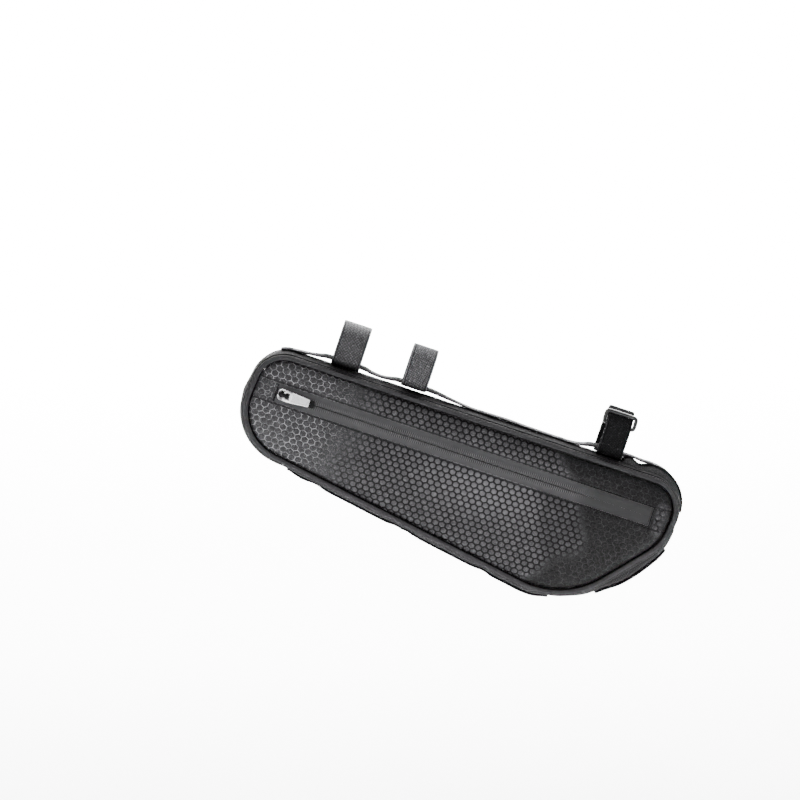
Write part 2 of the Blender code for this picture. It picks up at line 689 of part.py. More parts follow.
def build():
    clear_scene()
    parts = new_collection("frame_bag")
    cutters = new_collection("frame_bag_cutters", hidden=True)
    frame = add_empty("seat_line", parts)
    frame.rotation_euler = (0.0, SEAT_SLOPE, 0.0)

    coated = make_material("coated_fabric", (0.055, 0.055, 0.06), 0.55)
    woven = make_material("woven_fabric", (0.03, 0.03, 0.032), 0.85)
    piping = make_material("piping_fabric", (0.05, 0.05, 0.052), 0.6)
    tape = make_material("zip_tape", (0.06, 0.06, 0.062), 0.5)
    webbing = make_material("webbing", (0.02, 0.02, 0.022), 0.8)
    strap = make_material("strap_fabric", (0.045, 0.045, 0.048), 0.9)
    metal = make_material("pull_metal", (0.75, 0.75, 0.76), 0.3, 1.0)
    rubber = make_material("pull_rubber", (0.02, 0.02, 0.02), 0.5)
    plastic = make_material("ring_plastic", (0.02, 0.02, 0.02), 0.35)

    arcs = bag_arcs()
    spots = bag_spots(arcs)
    make_panel("left_panel", -1, spots, coated, parts, frame)
    make_panel("right_panel", 1, spots, coated, parts, frame)
    make_gusset(spots, woven, parts, frame)
    make_piping("left_piping", -1, spots, piping, parts, frame)
    make_piping("right_piping", 1, spots, piping, parts, frame)

    make_zip_tape("zip_tape_upper", 1, tape, parts, frame)
    make_zip_tape("zip_tape_lower", -1, tape, parts, frame)
    make_slider(metal, parts, cutters, frame)
    make_pull(metal, rubber, parts, frame)

    bottom_side = BELLY_SIDE + 1
    bottom = corner_stations(arcs, bottom_side, ARC_STEPS - BOTTOM_WEBBING_CORNER_STEPS, ARC_STEPS)
    bottom += side_stations(arcs, bottom_side, 0.0, BOTTOM_WEBBING_END, BOTTOM_WEBBING_STEPS)[1:]
    rear = corner_stations(arcs, BELLY_SIDE, ARC_STEPS - REAR_WEBBING_UPPER_STEPS, ARC_STEPS)
    rear += side_stations(arcs, BELLY_SIDE, 0.0, 1.0, REAR_WEBBING_STEPS)[1:]
    rear += corner_stations(arcs, bottom_side, 1, REAR_WEBBING_LOWER_STEPS)
    across = Vector((0.0, WEBBING_WIDTH, 0.0))
    for name, path in (
        ("top_webbing", top_webbing_path(arcs)),
        ("bottom_webbing", arched_path(bottom, BOTTOM_WEBBING)),
        ("rear_webbing", arched_path(rear, REAR_WEBBING)),
    ):
        make_ribbon(name, path, across, WEBBING_WALL, webbing, parts, frame)
    for row in STRAPS:
        make_strap(row, strap, parts, frame)
    make_strap_ring(plastic, parts, frame)
    bpy.context.view_layer.update()


build()
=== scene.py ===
# %% [markdown]
# A bicycle frame bag, dressed for a photograph.
#
# The bag is fabric nearly all over: two crowned panels with an embossed honeycomb, a woven gusset between
# them, piping along both edges, a coated zip and three hook-and-loop straps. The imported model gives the
# frame, and every piece made here takes its place from the same sizes.

# %% Load the frame
import math

import bmesh
import bpy
from mathutils import Matrix, Vector, noise


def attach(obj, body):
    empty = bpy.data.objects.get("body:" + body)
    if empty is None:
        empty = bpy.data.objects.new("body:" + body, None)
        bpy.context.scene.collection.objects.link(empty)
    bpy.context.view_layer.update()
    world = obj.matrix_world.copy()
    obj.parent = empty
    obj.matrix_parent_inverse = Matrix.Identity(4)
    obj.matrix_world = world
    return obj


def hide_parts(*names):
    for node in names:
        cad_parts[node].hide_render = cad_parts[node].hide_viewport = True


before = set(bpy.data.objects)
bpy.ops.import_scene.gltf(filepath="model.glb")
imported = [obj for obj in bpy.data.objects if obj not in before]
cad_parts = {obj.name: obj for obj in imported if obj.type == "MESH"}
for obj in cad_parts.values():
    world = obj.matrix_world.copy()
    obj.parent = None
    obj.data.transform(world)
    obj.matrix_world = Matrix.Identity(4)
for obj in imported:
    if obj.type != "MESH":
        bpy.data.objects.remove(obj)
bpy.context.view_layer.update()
bpy.ops.object.select_all(action="DESELECT")
print("nodes in the frame:", len(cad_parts))

# %% [markdown]
# The bag hangs along a sloping line, so its sizes are easiest to read in a frame of their own: u runs along
# the slope to the rear, w stands square to it, and y runs across the bag. Everything is laid out there in
# metres, and one turn about Y brings it into the world.

# %% The bag's own frame
MM = 0.001
SLOPE = math.radians(18.5)
TURN = Matrix.Rotation(SLOPE, 4, "Y")
SIDES = {"left": -1, "right": 1}


def into_world(piece):
    """Turns a piece laid out along the slope into the world, with its object left at the origin."""
    piece.data.transform(TURN)
    piece.data.update()
    return piece


print("slope in degrees:", round(math.degrees(SLOPE), 1))

# %% [markdown]
# The outline of the piping is a table of five rounded corners, given as shares of the bag's length and
# depth. The panels, the gusset and the piping all follow it, so it is worked out once, as points with
# outward normals.

# %% Sizes of the body
CLEARANCE = 0.3 * MM
BAG_LENGTH = 378.0 * MM
BAG_DEPTH = 121.0 * MM
FRONT_END = -131.544 * MM
REAR_END = FRONT_END + BAG_LENGTH
BODY_TOP = -26.0 * MM
PIPING_RADIUS = 2.5 * MM
PIPING_Y = 27.5 * MM
PANEL_EDGE_Y = 28.0 * MM
PANEL_CROWN = 6.0 * MM
PANEL_WALL = 2.5 * MM
GUSSET_HALF = 24.7 * MM
GUSSET_BULGE = 6.0 * MM
GUSSET_BELLY = 6.0 * MM
BELLY_REACH = 60.0 * MM
GUSSET_EDGE_RISE = 0.8 * MM
GUSSET_WALL = 2.0 * MM
ZIP_W = -56.5 * MM
ZIP_FRONT = FRONT_END + 21.0 * MM
ZIP_REAR = REAR_END - 20.5 * MM
ZIP_HALF = 8.0 * MM
HEM = 1.5 * MM
# name, along, drop, radius, bulge
OUTLINE = [
    ("front top", 0.009, 0.000, 0.203, 0.75),
    ("rear top", 1.006, 0.000, 0.215, 0.75),
    ("rear", 0.994, 0.420, 0.348, 1.00),
    ("rear bottom", 0.823, 1.044, 0.602, 1.15),
    ("front bottom", -0.009, 0.645, 0.357, 0.98),
]
BELLY_SIDE = 2


# %% Walk round the outline
def corner_points(before, corner, after, radius, steps):
    """Points and outward normals round one corner of a clockwise outline."""
    to_before = (before - corner).normalized()
    to_after = (after - corner).normalized()
    half = to_before.angle(to_after) / 2
    centre = corner + (to_before + to_after).normalized() * (radius / math.sin(half))
    first = (corner + to_before * (radius / math.tan(half)) - centre).normalized()
    turn = math.pi - 2 * half
    points = []
    for step in range(steps + 1):
        normal = Matrix.Rotation(-turn * step / steps, 2) @ first
        points.append((centre + normal * radius, normal))
    return points


def outline_spots(spacing):
    """The outline as (point, normal, rise), about evenly spaced. Rise is how far the gusset bulges."""
    places = [Vector((FRONT_END + row[1] * BAG_LENGTH, BODY_TOP - row[2] * BAG_DEPTH)) for row in OUTLINE]
    count = len(places)
    arcs = []
    for index, row in enumerate(OUTLINE):
        before, after = places[index - 1], places[(index + 1) % count]
        radius = row[3] * BAG_DEPTH
        turn = math.pi - (before - places[index]).angle(after - places[index])
        steps = max(6, round(radius * turn / spacing))
        arcs.append(corner_points(before, places[index], after, radius, steps))
    middle = arcs[BELLY_SIDE][-1][0].lerp(arcs[BELLY_SIDE + 1][0][0], 0.5)

    def rise_at(point, bulge):
        away = min((point - middle).length / BELLY_REACH, 1.0)
        return bulge * GUSSET_BULGE + GUSSET_BELLY * math.cos(away * math.pi / 2) ** 2

    spots = []
    for index, arc in enumerate(arcs):
        bulge, next_bulge = OUTLINE[index][4], OUTLINE[(index + 1) % count][4]
        spots += [(point, normal, rise_at(point, bulge)) for point, normal in arc]
        start, normal = arc[-1]
        end = arcs[(index + 1) % count][0][0]
        steps = round((end - start).length / spacing)
        for step in range(1, steps):
            share = step / steps
            point = start.lerp(end, share)
            spots.append((point, normal, rise_at(point, bulge + (next_bulge - bulge) * share)))
    return spots


SPOTS = outline_spots(2.0 * MM)
print("outline points:", len(SPOTS))

# %% [markdown]
# The first helpers join rows of points into a mesh, give a sheet its wall with Solidify, and finish a
# piece: smooth shading, a material in its slot and a body to ride on.


# %% Build and finish pieces
# Faces that meet at less than this angle are shaded as one
SHARPEST_SMOOTH = math.radians(40.0)
# Points closer than this are merged
MERGE = 0.01 * MM


def new_object(name, data):
    thing = bpy.data.objects.new(name, data)
    bpy.context.scene.collection.objects.link(thing)
    return thing


def sheet_of_rows(name, rows, closed, flip=False, cap=False):
    """Joins rows of points with quads. Closed rows are rings, and cap fills the last one."""
    mesh = bpy.data.meshes.new(name)
    shape = bmesh.new()
    made = [[shape.verts.new(point) for point in row] for row in rows]
    count = len(rows[0])
    for lower, upper in zip(made, made[1:]):
        for index in range(count if closed else count - 1):
            after = (index + 1) % count
            corners = [lower[index], lower[after], upper[after], upper[index]]
            shape.faces.new(corners[::-1] if flip else corners)
    if cap:
        shape.faces.new(made[-1][::-1] if flip else made[-1])
    shape.to_mesh(mesh)
    shape.free()
    return new_object(name, mesh)


def select_only(piece):
    bpy.ops.object.select_all(action="DESELECT")
    piece.select_set(True)
    bpy.context.view_layer.objects.active = piece


def apply_modifiers(piece):
    select_only(piece)
    for modifier in list(piece.modifiers):
        bpy.ops.object.modifier_apply(modifier=modifier.name)
    piece.select_set(False)


def add_wall(piece, wall, offset):
    modifier = piece.modifiers.new("Wall", "SOLIDIFY")
    modifier.thickness = wall
    modifier.offset = offset
    modifier.use_even_offset = True


def subdivide_smooth(piece, levels):
    modifier = piece.modifiers.new("Smooth", "SUBSURF")
    modifier.levels = levels
    modifier.render_levels = levels


def finish(piece, material, body, replaces=()):
    """Applies what is left on a piece, shades it and gives it to its body."""
    apply_modifiers(piece)
    select_only(piece)
    bpy.ops.object.shade_smooth_by_angle(angle=SHARPEST_SMOOTH)
    piece.select_set(False)
    piece.data.materials.clear()
    piece.data.materials.append(material)
    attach(piece, body)
    if replaces:
        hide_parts(*replaces)
    print(piece.name, "has", len(piece.data.polygons), "faces")
    return piece


def map_rings(piece, rings):
    """Gives a piece of closed rings a map in metres, from one list of (along, across) per vertex."""
    layer = piece.data.uv_layers.new(name="Cloth")
    total = max(along for along, _ in rings) * (1 + 1 / len(SPOTS))
    for face in piece.data.polygons:
        along = [rings[piece.data.loops[loop].vertex_index][0] for loop in face.loop_indices]
        wraps = max(along) - min(along) > total / 2
        for loop, value in zip(face.loop_indices, along):
            across = rings[piece.data.loops[loop].vertex_index][1]
            layer.data[loop].uv = (value + total if wraps and value < total / 2 else value, across)


# How far each outline point lies along the outline
ALONG = [0.0]
for (start, _, _), (end, _, _) in zip(SPOTS, SPOTS[1:]):
    ALONG.append(ALONG[-1] + (end - start).length)
print("round the outline:", round(ALONG[-1] / MM), "mm")

# %% [markdown]
# Effects that several finishes share are node groups, built once. The first is the honeycomb. Two square
# grids of cells, one shifted by half a cell, give the nearest centre of a hexagon, and the distance from
# that centre gives how far a point is from the cell's edge.


# %% Node helpers
def new_group(name, inputs, outputs):
    """An empty shader group with named float, vector or colour sockets."""
    group = bpy.data.node_groups.new(name, "ShaderNodeTree")
    for label, kind, value in inputs:
        socket = group.interface.new_socket(label, in_out="INPUT", socket_type=kind)
        if value is not None:
            socket.default_value = value
    for label, kind in outputs:
        group.interface.new_socket(label, in_out="OUTPUT", socket_type=kind)
    return group, group.nodes.new("NodeGroupInput"), group.nodes.new("NodeGroupOutput")


def put(tree, socket, value):
    """Links a socket to another one, or sets it to a plain value."""
    if isinstance(value, bpy.types.NodeSocket):
        tree.links.new(value, socket)
    elif value is not None:
        socket.default_value = value


def maths(tree, operation, first, second=None, third=None):
    node = tree.nodes.new("ShaderNodeMath")
    node.operation = operation
    for socket, value in zip(node.inputs, (first, second, third)):
        put(tree, socket, value)
    return node.outputs[0]


def product(tree, *values):
    """Multiplies sockets and numbers together, in turn."""
    result = values[0]
    for value in values[1:]:
        result = maths(tree, "MULTIPLY", result, value)
    return result


def split(tree, vector):
    """The three parts of a vector."""
    node = tree.nodes.new("ShaderNodeSeparateXYZ")
    put(tree, node.inputs[0], vector)
    return node.outputs


def gap_to(tree, value, middle):
    """How far a value is from a middle, to either side."""
    return maths(tree, "ABSOLUTE", maths(tree, "SUBTRACT", value, middle))


def vector_maths(tree, operation, first, second=None, output=0):
    node = tree.nodes.new("ShaderNodeVectorMath")
    node.operation = operation
    put(tree, node.inputs[0], first)
    put(tree, node.inputs[1], second)
    return node.outputs[output]


def steps_between(tree, value, low, high, bottom=0.0, top=1.0):
    """Eases from bottom to top as value goes from low to high."""
    node = tree.nodes.new("ShaderNodeMapRange")
    node.interpolation_type = "SMOOTHSTEP"
    for socket, number in zip(node.inputs, (value, low, high, bottom, top)):
        put(tree, socket, number)
    return node.outputs[0]


def mixed(tree, factor, first, second):
    """Mixes two colours."""
    node = tree.nodes.new("ShaderNodeMix")
    node.data_type = "RGBA"
    put(tree, node.inputs["Factor"], factor)
    put(tree, node.inputs[6], first)
    put(tree, node.inputs[7], second)
    return node.outputs[2]


def grey(value):
    return (value, value, value * 1.05)


def opaque(color, factor=1.0):
    """A colour times a factor, with its alpha."""
    return (*(factor * part for part in color), 1.0)


def clouds(tree, vector, scale, detail=3.0, roughness=0.55):
    node = tree.nodes.new("ShaderNodeTexNoise")
    put(tree, node.inputs["Vector"], vector)
    node.inputs["Scale"].default_value = scale
    node.inputs["Detail"].default_value = detail
    node.inputs["Roughness"].default_value = roughness
    return node.outputs["Fac"]


# %% The honeycomb group
CELL_SIZE = (5.95 * MM, 5.3 * MM, 1.0)


def build_honeycomb():
    """Edge is 0 on the border of a cell and 1 in its middle, and Cell is a random number for each cell."""
    group, inside, outside = new_group(
        "Honeycomb",
        [("Vector", "NodeSocketVector", None), ("Cell Size", "NodeSocketVector", CELL_SIZE)],
        [("Edge", "NodeSocketFloat"), ("Cell", "NodeSocketFloat")],
    )
    period = (1.0, math.sqrt(3.0), 1.0)
    flat = (1.0, 1.0, 0.0)
    point = vector_maths(group, "DIVIDE", inside.outputs["Vector"], inside.outputs["Cell Size"])
    point = vector_maths(group, "MULTIPLY", point, flat)
    share = vector_maths(group, "DIVIDE", point, period)
    nearest = []
    for shift in (0.0, 0.5):
        moved = vector_maths(group, "ADD", share, (shift, shift, shift))
        part = vector_maths(group, "FRACTION", moved)
        centred = vector_maths(group, "SUBTRACT", part, (0.5, 0.5, 0.5))
        centred = vector_maths(group, "MULTIPLY", centred, period)
        nearest.append(vector_maths(group, "MULTIPLY", centred, flat))
    lengths = [vector_maths(group, "LENGTH", offset, output=1) for offset in nearest]
    second_is_nearer = maths(group, "GREATER_THAN", lengths[0], lengths[1])
    pick = group.nodes.new("ShaderNodeMix")
    pick.data_type = "VECTOR"
    put(group, pick.inputs["Factor"], second_is_nearer)
    put(group, pick.inputs[4], nearest[0])
    put(group, pick.inputs[5], nearest[1])
    offset = pick.outputs[1]
    folded = vector_maths(group, "ABSOLUTE", offset)
    slanted = vector_maths(group, "DOT_PRODUCT", folded, (0.5, math.sqrt(3.0) / 2, 0.0), output=1)
    reach = maths(group, "MAXIMUM", split(group, folded)[0], slanted)
    put(group, outside.inputs["Edge"], maths(group, "MULTIPLY_ADD", reach, -2.0, 1.0))
    number = group.nodes.new("ShaderNodeTexWhiteNoise")
    put(group, number.inputs["Vector"], vector_maths(group, "SUBTRACT", point, offset))
    put(group, outside.inputs["Cell"], number.outputs["Value"])
    return group


HONEYCOMB = build_honeycomb()
print("built the honeycomb group")

# %% [markdown]
# The second group is a plain weave. Threads run both ways, and which one lies on top changes from square to
# square like a chequerboard. Its height has the round backs of the threads, and its tint tells thread from
# gap.


# %% The weave group
def build_weave():
    """Threads is how many threads there are in a metre. Height and Gap are from 0 to 1."""
    group, inside, outside = new_group(
        "Plain weave",
        [("Vector", "NodeSocketVector", None), ("Threads", "NodeSocketFloat", 900.0)],
        [("Height", "NodeSocketFloat"), ("Gap", "NodeSocketFloat")],
    )
    scaled = vector_maths(group, "MULTIPLY", inside.outputs["Vector"], inside.outputs["Threads"])
    parts = split(group, vector_maths(group, "MULTIPLY", scaled, (math.pi, math.pi, math.pi)))
    across = maths(group, "SINE", parts[0])
    along = maths(group, "SINE", parts[1])
    on_top = maths(group, "GREATER_THAN", product(group, across, along), 0.0)
    across = maths(group, "ABSOLUTE", across)
    along = maths(group, "ABSOLUTE", along)
    first = product(group, maths(group, "POWER", across, 0.5), on_top)
    other = maths(group, "SUBTRACT", 1.0, on_top)
    second = product(group, maths(group, "POWER", along, 0.5), other)
    put(group, outside.inputs["Height"], maths(group, "ADD", first, second))
    low = maths(group, "MINIMUM", across, along)
    put(group, outside.inputs["Gap"], steps_between(group, low, 0.0, 0.45, 1.0, 0.0))
    return group


WEAVE = build_weave()
print("built the weave group")

# %% [markdown]
# The third group is the lint and wear that every cloth here shows: pale dust in soft patches, and fine
# grain.


# %% The lint group
def build_lint():
    """Puts pale dust on a colour. Amount sets how much, and Rough goes up where it lies."""
    group, inside, outside = new_group(
        "Lint",
        [
            ("Vector", "NodeSocketVector", None),
            ("Color", "NodeSocketColor", opaque(grey(0.05))),
            ("Amount", "NodeSocketFloat", 0.2),
            ("Rough", "NodeSocketFloat", 0.6),
        ],
        [("Color", "NodeSocketColor"), ("Rough", "NodeSocketFloat"), ("Grain", "NodeSocketFloat")],
    )
    vector = inside.outputs["Vector"]
    patches = steps_between(group, clouds(group, vector, 38.0, 4.0, 0.6), 0.42, 0.75)
    grain = clouds(group, vector, 1400.0, 2.0, 0.6)
    specks = steps_between(group, grain, 0.55, 0.78)
    patches = maths(group, "MULTIPLY_ADD", patches, 0.65, 0.35)
    mask = product(group, patches, specks, inside.outputs["Amount"])
    put(group, outside.inputs["Color"], mixed(group, mask, inside.outputs["Color"], opaque(grey(0.32))))
    put(group, outside.inputs["Rough"], maths(group, "MULTIPLY_ADD", mask, 0.4, inside.outputs["Rough"]))
    put(group, outside.inputs["Grain"], grain)
    return group


LINT = build_lint()
print("built the lint group")


# %% Material helpers
def new_material(name, color, roughness, metallic=0.0, specular=0.5):
    """A material with its Principled shader. What is the same all over is set on the shader itself."""
    material = bpy.data.materials.new(name)
    material.use_nodes = True
    shader = material.node_tree.nodes["Principled BSDF"]
    shader.inputs["Base Color"].default_value = opaque(color)
    shader.inputs["Roughness"].default_value = roughness
    shader.inputs["Metallic"].default_value = metallic
    shader.inputs["Specular IOR Level"].default_value = specular
    return material, material.node_tree, shader


def sloping_places(tree):
    """Object coordinates turned back along the slope, as one vector and as its parts u, w and across."""
    place = tree.nodes.new("ShaderNodeTexCoord")
    turn = tree.nodes.new("ShaderNodeMapping")
    turn.inputs["Rotation"].default_value = (0.0, -SLOPE, 0.0)
    put(tree, turn.inputs["Vector"], place.outputs["Object"])
    u, across, w = split(tree, turn.outputs["Vector"])
    flat = tree.nodes.new("ShaderNodeCombineXYZ")
    for socket, value in zip(flat.inputs, (u, w, across)):
        put(tree, socket, value)
    return flat.outputs[0], u, w, across


def colour_and_roughness(tree, shader, color, roughness):
    put(tree, shader.inputs["Base Color"], color)
    put(tree, shader.inputs["Roughness"], roughness)


def group_node(tree, group, **values):
    node = tree.nodes.new("ShaderNodeGroup")
    node.node_tree = group
    for label, value in values.items():
        put(tree, node.inputs[label], value)
    return node


def bump(tree, shader, height, distance):
    node = tree.nodes.new("ShaderNodeBump")
    node.inputs["Distance"].default_value = distance
    node.inputs["Strength"].default_value = 1.0
    put(tree, node.inputs["Height"], height)
    put(tree, shader.inputs["Normal"], node.outputs["Normal"])


# %% [markdown]
# The panels are coated cloth over thin foam with a honeycomb pressed into it. The cells stand up as rounded
# pillows. At the front the grooves carry thin pale lines, a painted highlight along their edges. Behind that
# comes a stretch where the pressing hardly took, then the deep cells with dark grooves, and it gets shallow
# again towards the rear end. The masks below say where each kind lies, in the bag's own u and w.


# %% Where the pressing is deep
# Each pair is where a kind of pressing begins to change and where it has changed, as u
FRONT_FADES = (-0.082, -0.034)
DEEP_BEGINS = (-0.064, -0.014)
DEEP_ENDS = (0.166, 0.184)
DULL_BEHIND = (0.010, 0.110)
# The deep cells end in a curve that is furthest back at this w
BELLY_W = -0.090
BELLY_CURVE = 13.0
# How far the borders wander along u
WANDER = 0.05
# Along the level line, where the cells below the zip turn away from the light
TURNS_AWAY = (0.095, 0.108)
# The middle of the painted highlight on the long stretch of cells below the zip, as u, w and across
PAINTED_HIGHLIGHT_SPOT = (0.085, -0.076, 0.0)
PAINTED_HIGHLIGHT_REACH = 0.042


def pressing_masks(tree, flat, u, w, across):
    """Masks for the front's painted glints, the deep middle and the few raised cells behind the zip's end."""
    shift = maths(tree, "SUBTRACT", u, WANDER / 2)
    wander = maths(tree, "MULTIPLY_ADD", clouds(tree, flat, 22.0, 3.0), WANDER, shift)
    front = steps_between(tree, wander, *FRONT_FADES, 1.0, 0.0)
    begins = steps_between(tree, wander, *DEEP_BEGINS)
    from_belly = maths(tree, "SUBTRACT", w, BELLY_W)
    curved = product(tree, from_belly, from_belly, BELLY_CURVE)
    ends = steps_between(tree, maths(tree, "ADD", wander, curved), *DEEP_ENDS, 1.0, 0.0)
    # Adding a metre on the far side leaves out there all that follows the zip
    from_zip = maths(tree, "ADD", gap_to(tree, w, ZIP_W), maths(tree, "GREATER_THAN", across, 0.0))
    behind = product(
        tree,
        steps_between(tree, u, ZIP_REAR + 2.0 * MM, ZIP_REAR + 5.0 * MM),
        steps_between(tree, u, REAR_END - 12.0 * MM, REAR_END - 6.0 * MM, 1.0, 0.0),
        steps_between(tree, from_zip, 9.0 * MM, 17.0 * MM, 1.0, 0.0),
    )
    off_seam = steps_between(tree, from_zip, ZIP_HALF + 1.4 * MM, ZIP_HALF + 2.6 * MM, 0.45, 1.0)
    return front, product(tree, begins, ends), behind, maths(tree, "MAXIMUM", off_seam, behind), from_zip


# %% The honeycomb cloth
def cell_colours(tree, flat, u, w, cell, grain, deep):
    """The colour between the grooves: raised cells where the pressing is deep, plain cloth elsewhere."""
    coarse = steps_between(tree, grain, 0.36, 0.64)
    dull = mixed(tree, coarse, opaque(grey(0.003)), opaque(grey(0.012)))
    low_cell = mixed(tree, coarse, opaque(grey(0.016)), opaque(grey(0.040)))
    high_cell = mixed(tree, coarse, opaque(grey(0.026)), opaque(grey(0.060)))
    raised = mixed(tree, cell, low_cell, high_cell)
    # Below the zip the cells get a painted highlight, palest round its middle.
    from_highlight = vector_maths(tree, "SUBTRACT", flat, PAINTED_HIGHLIGHT_SPOT)
    from_highlight = vector_maths(tree, "MULTIPLY", from_highlight, (0.4, 1.0, 0.0))
    from_highlight = vector_maths(tree, "LENGTH", from_highlight, output=1)
    wear_and_highlight = steps_between(tree, from_highlight, 0.0, PAINTED_HIGHLIGHT_REACH, 0.55, 0.0)
    raised = mixed(tree, wear_and_highlight, raised, opaque(grey(0.100)))
    # Past the level line the cells below the zip get painted shade where they turn away from the light.
    level = maths(tree, "ADD", product(tree, u, math.cos(SLOPE)), product(tree, w, math.sin(SLOPE)))
    dim = steps_between(tree, level, *TURNS_AWAY, 0.0, 0.5)
    dim = product(tree, dim, maths(tree, "LESS_THAN", w, ZIP_W))
    raised = mixed(tree, dim, raised, opaque(grey(0.012)))
    flecks = steps_between(tree, grain, 0.52, 0.66)
    flecks = mixed(tree, flecks, opaque(grey(0.020)), opaque(grey(0.078)))
    plain = mixed(tree, steps_between(tree, u, *DULL_BEHIND, 1.0, 0.0), dull, flecks)
    return mixed(tree, deep, plain, raised)


def make_panel_cloth(name):
    material, tree, shader = new_material(name, grey(0.03), 0.5, specular=0.05)
    flat, u, w, across = sloping_places(tree)
    front, middle, behind, off_seam, from_zip = pressing_masks(tree, flat, u, w, across)
    deep = maths(tree, "MAXIMUM", middle, behind)
    cells = group_node(tree, HONEYCOMB, Vector=flat)
    edge = cells.outputs["Edge"]
    painted_glint_line = steps_between(tree, edge, 0.02, 0.15, 1.0, 0.0)
    groove = steps_between(tree, edge, 0.12, 0.36, 1.0, 0.0)
    pillow = steps_between(tree, edge, 0.04, 0.66)
    broken = steps_between(tree, clouds(tree, flat, 260.0, 3.0), 0.36, 0.60, 0.10, 1.0)
    grain = clouds(tree, flat, 760.0, 4.0, 0.8)

    body = cell_colours(tree, flat, u, w, cells.outputs["Cell"], grain, deep)
    colour = mixed(tree, product(tree, groove, deep, 0.94, off_seam), body, opaque(grey(0.003)))
    # Thin pale lines along the groove edges are a painted highlight, full at the front and faint elsewhere.
    glint_strength = product(tree, maths(tree, "SUBTRACT", 1.0, middle), 0.07)
    glint_strength = maths(tree, "MAXIMUM", front, glint_strength)
    colour = mixed(tree, product(tree, painted_glint_line, broken, glint_strength, off_seam), colour, opaque(grey(0.18)))
    seam_away = gap_to(tree, from_zip, ZIP_HALF + HEM)
    seam = steps_between(tree, seam_away, 0.25 * MM, 0.95 * MM, 0.75, 0.0)
    colour = mixed(tree, seam, colour, opaque(grey(0.004)))
    lint = group_node(tree, LINT, Vector=flat, Color=colour, Amount=0.08, Rough=0.45)
    colour_and_roughness(tree, shader, lint.outputs["Color"], lint.outputs["Rough"])

    depth = maths(tree, "MAXIMUM", deep, maths(tree, "MULTIPLY_ADD", front, 0.5, 0.2))
    height = maths(tree, "MULTIPLY_ADD", grain, 0.30, product(tree, pillow, depth, off_seam))
    height = maths(tree, "MULTIPLY_ADD", seam, -0.9, height)
    bump(tree, shader, height, 0.75 * MM)
    return material


PANEL_CLOTH = make_panel_cloth("honeycomb cloth")
print("made the honeycomb cloth")

# %% [markdown]
# The other cloths are plain weaves that follow the map of their piece: along it and across it, in metres.
# Threads catch the light unevenly, so pale flecks are mixed in, and webbing and straps have a woven edge, a
# selvedge, with a dark line beside a pale one.


# %% Plain woven cloths
# Between these two heights, as w, the painted shade on the front and middle straps' lower ends fades out
PAINTED_SHADE_BELOW = (-19.0 * MM, -12.0 * MM)


def make_woven(name, color, gap_color, threads, roughness, depth, slant=0.0, flecks=0.3, lint=0.1,
               selvedge=0.0, gloss=0.02, painted_shade_at_bottom=False, painted_shade_off_line=0.0):
    """A woven cloth. Slant turns the weave, and selvedge is where the edge lies, counted from the middle.

    A strap's lower end can get painted shade, and a cord painted shade in the grooves beside its outer line.
    """
    material, tree, shader = new_material(name, color, roughness, specular=gloss)
    source = tree.nodes.new("ShaderNodeTexCoord").outputs["UV"]
    turn = tree.nodes.new("ShaderNodeMapping")
    turn.inputs["Rotation"].default_value = (0.0, 0.0, math.radians(slant))
    put(tree, turn.inputs["Vector"], source)
    flat = turn.outputs["Vector"]
    beside = split(tree, source)[1]
    weave = group_node(tree, WEAVE, Vector=flat, Threads=threads)
    body = mixed(tree, clouds(tree, flat, 160.0, 3.0), opaque(color, 0.7), opaque(color, 1.3))
    lit = steps_between(tree, clouds(tree, flat, 560.0, 4.0, 0.75), 0.46, 0.66, 0.0, flecks)
    body = mixed(tree, lit, body, opaque(color, 3.2))
    colour = mixed(tree, weave.outputs["Gap"], body, opaque(gap_color))
    height = weave.outputs["Height"]
    if selvedge:
        inward = maths(tree, "SUBTRACT", selvedge, maths(tree, "ABSOLUTE", beside))
        rim = steps_between(tree, inward, 0.9 * MM, 1.2 * MM, 0.6, 0.0)
        line = steps_between(tree, gap_to(tree, inward, 1.7 * MM), 0.2 * MM, 0.6 * MM, 0.8, 0.0)
        colour = mixed(tree, rim, colour, opaque(color, 2.4))
        colour = mixed(tree, line, colour, opaque(gap_color))
        height = maths(tree, "MULTIPLY_ADD", line, -0.8, height)
    # Beside the cord's outward line its grooves get painted shade.
    if painted_shade_off_line:
        groove = steps_between(tree, gap_to(tree, beside, painted_shade_off_line), 1.5 * MM, 2.5 * MM, 0.0, 0.92)
        colour = mixed(tree, groove, colour, opaque(grey(0.001)))
    # A strap's lower end gets painted shade, darkest at the bottom.
    if painted_shade_at_bottom:
        low = steps_between(tree, sloping_places(tree)[2], *PAINTED_SHADE_BELOW, 0.9, 0.0)
        colour = mixed(tree, low, colour, opaque(grey(0.002)))
    dust = group_node(tree, LINT, Vector=flat, Color=colour, Amount=lint, Rough=roughness)
    colour_and_roughness(tree, shader, dust.outputs["Color"], dust.outputs["Rough"])
    height = maths(tree, "MULTIPLY_ADD", dust.outputs["Grain"], 0.5, height)
    bump(tree, shader, height, depth)
    return material


GUSSET_CLOTH = make_woven(
    "gusset cloth", grey(0.007), grey(0.002), 560.0, 0.75, 0.3 * MM, flecks=0.85, selvedge=21.5 * MM
)
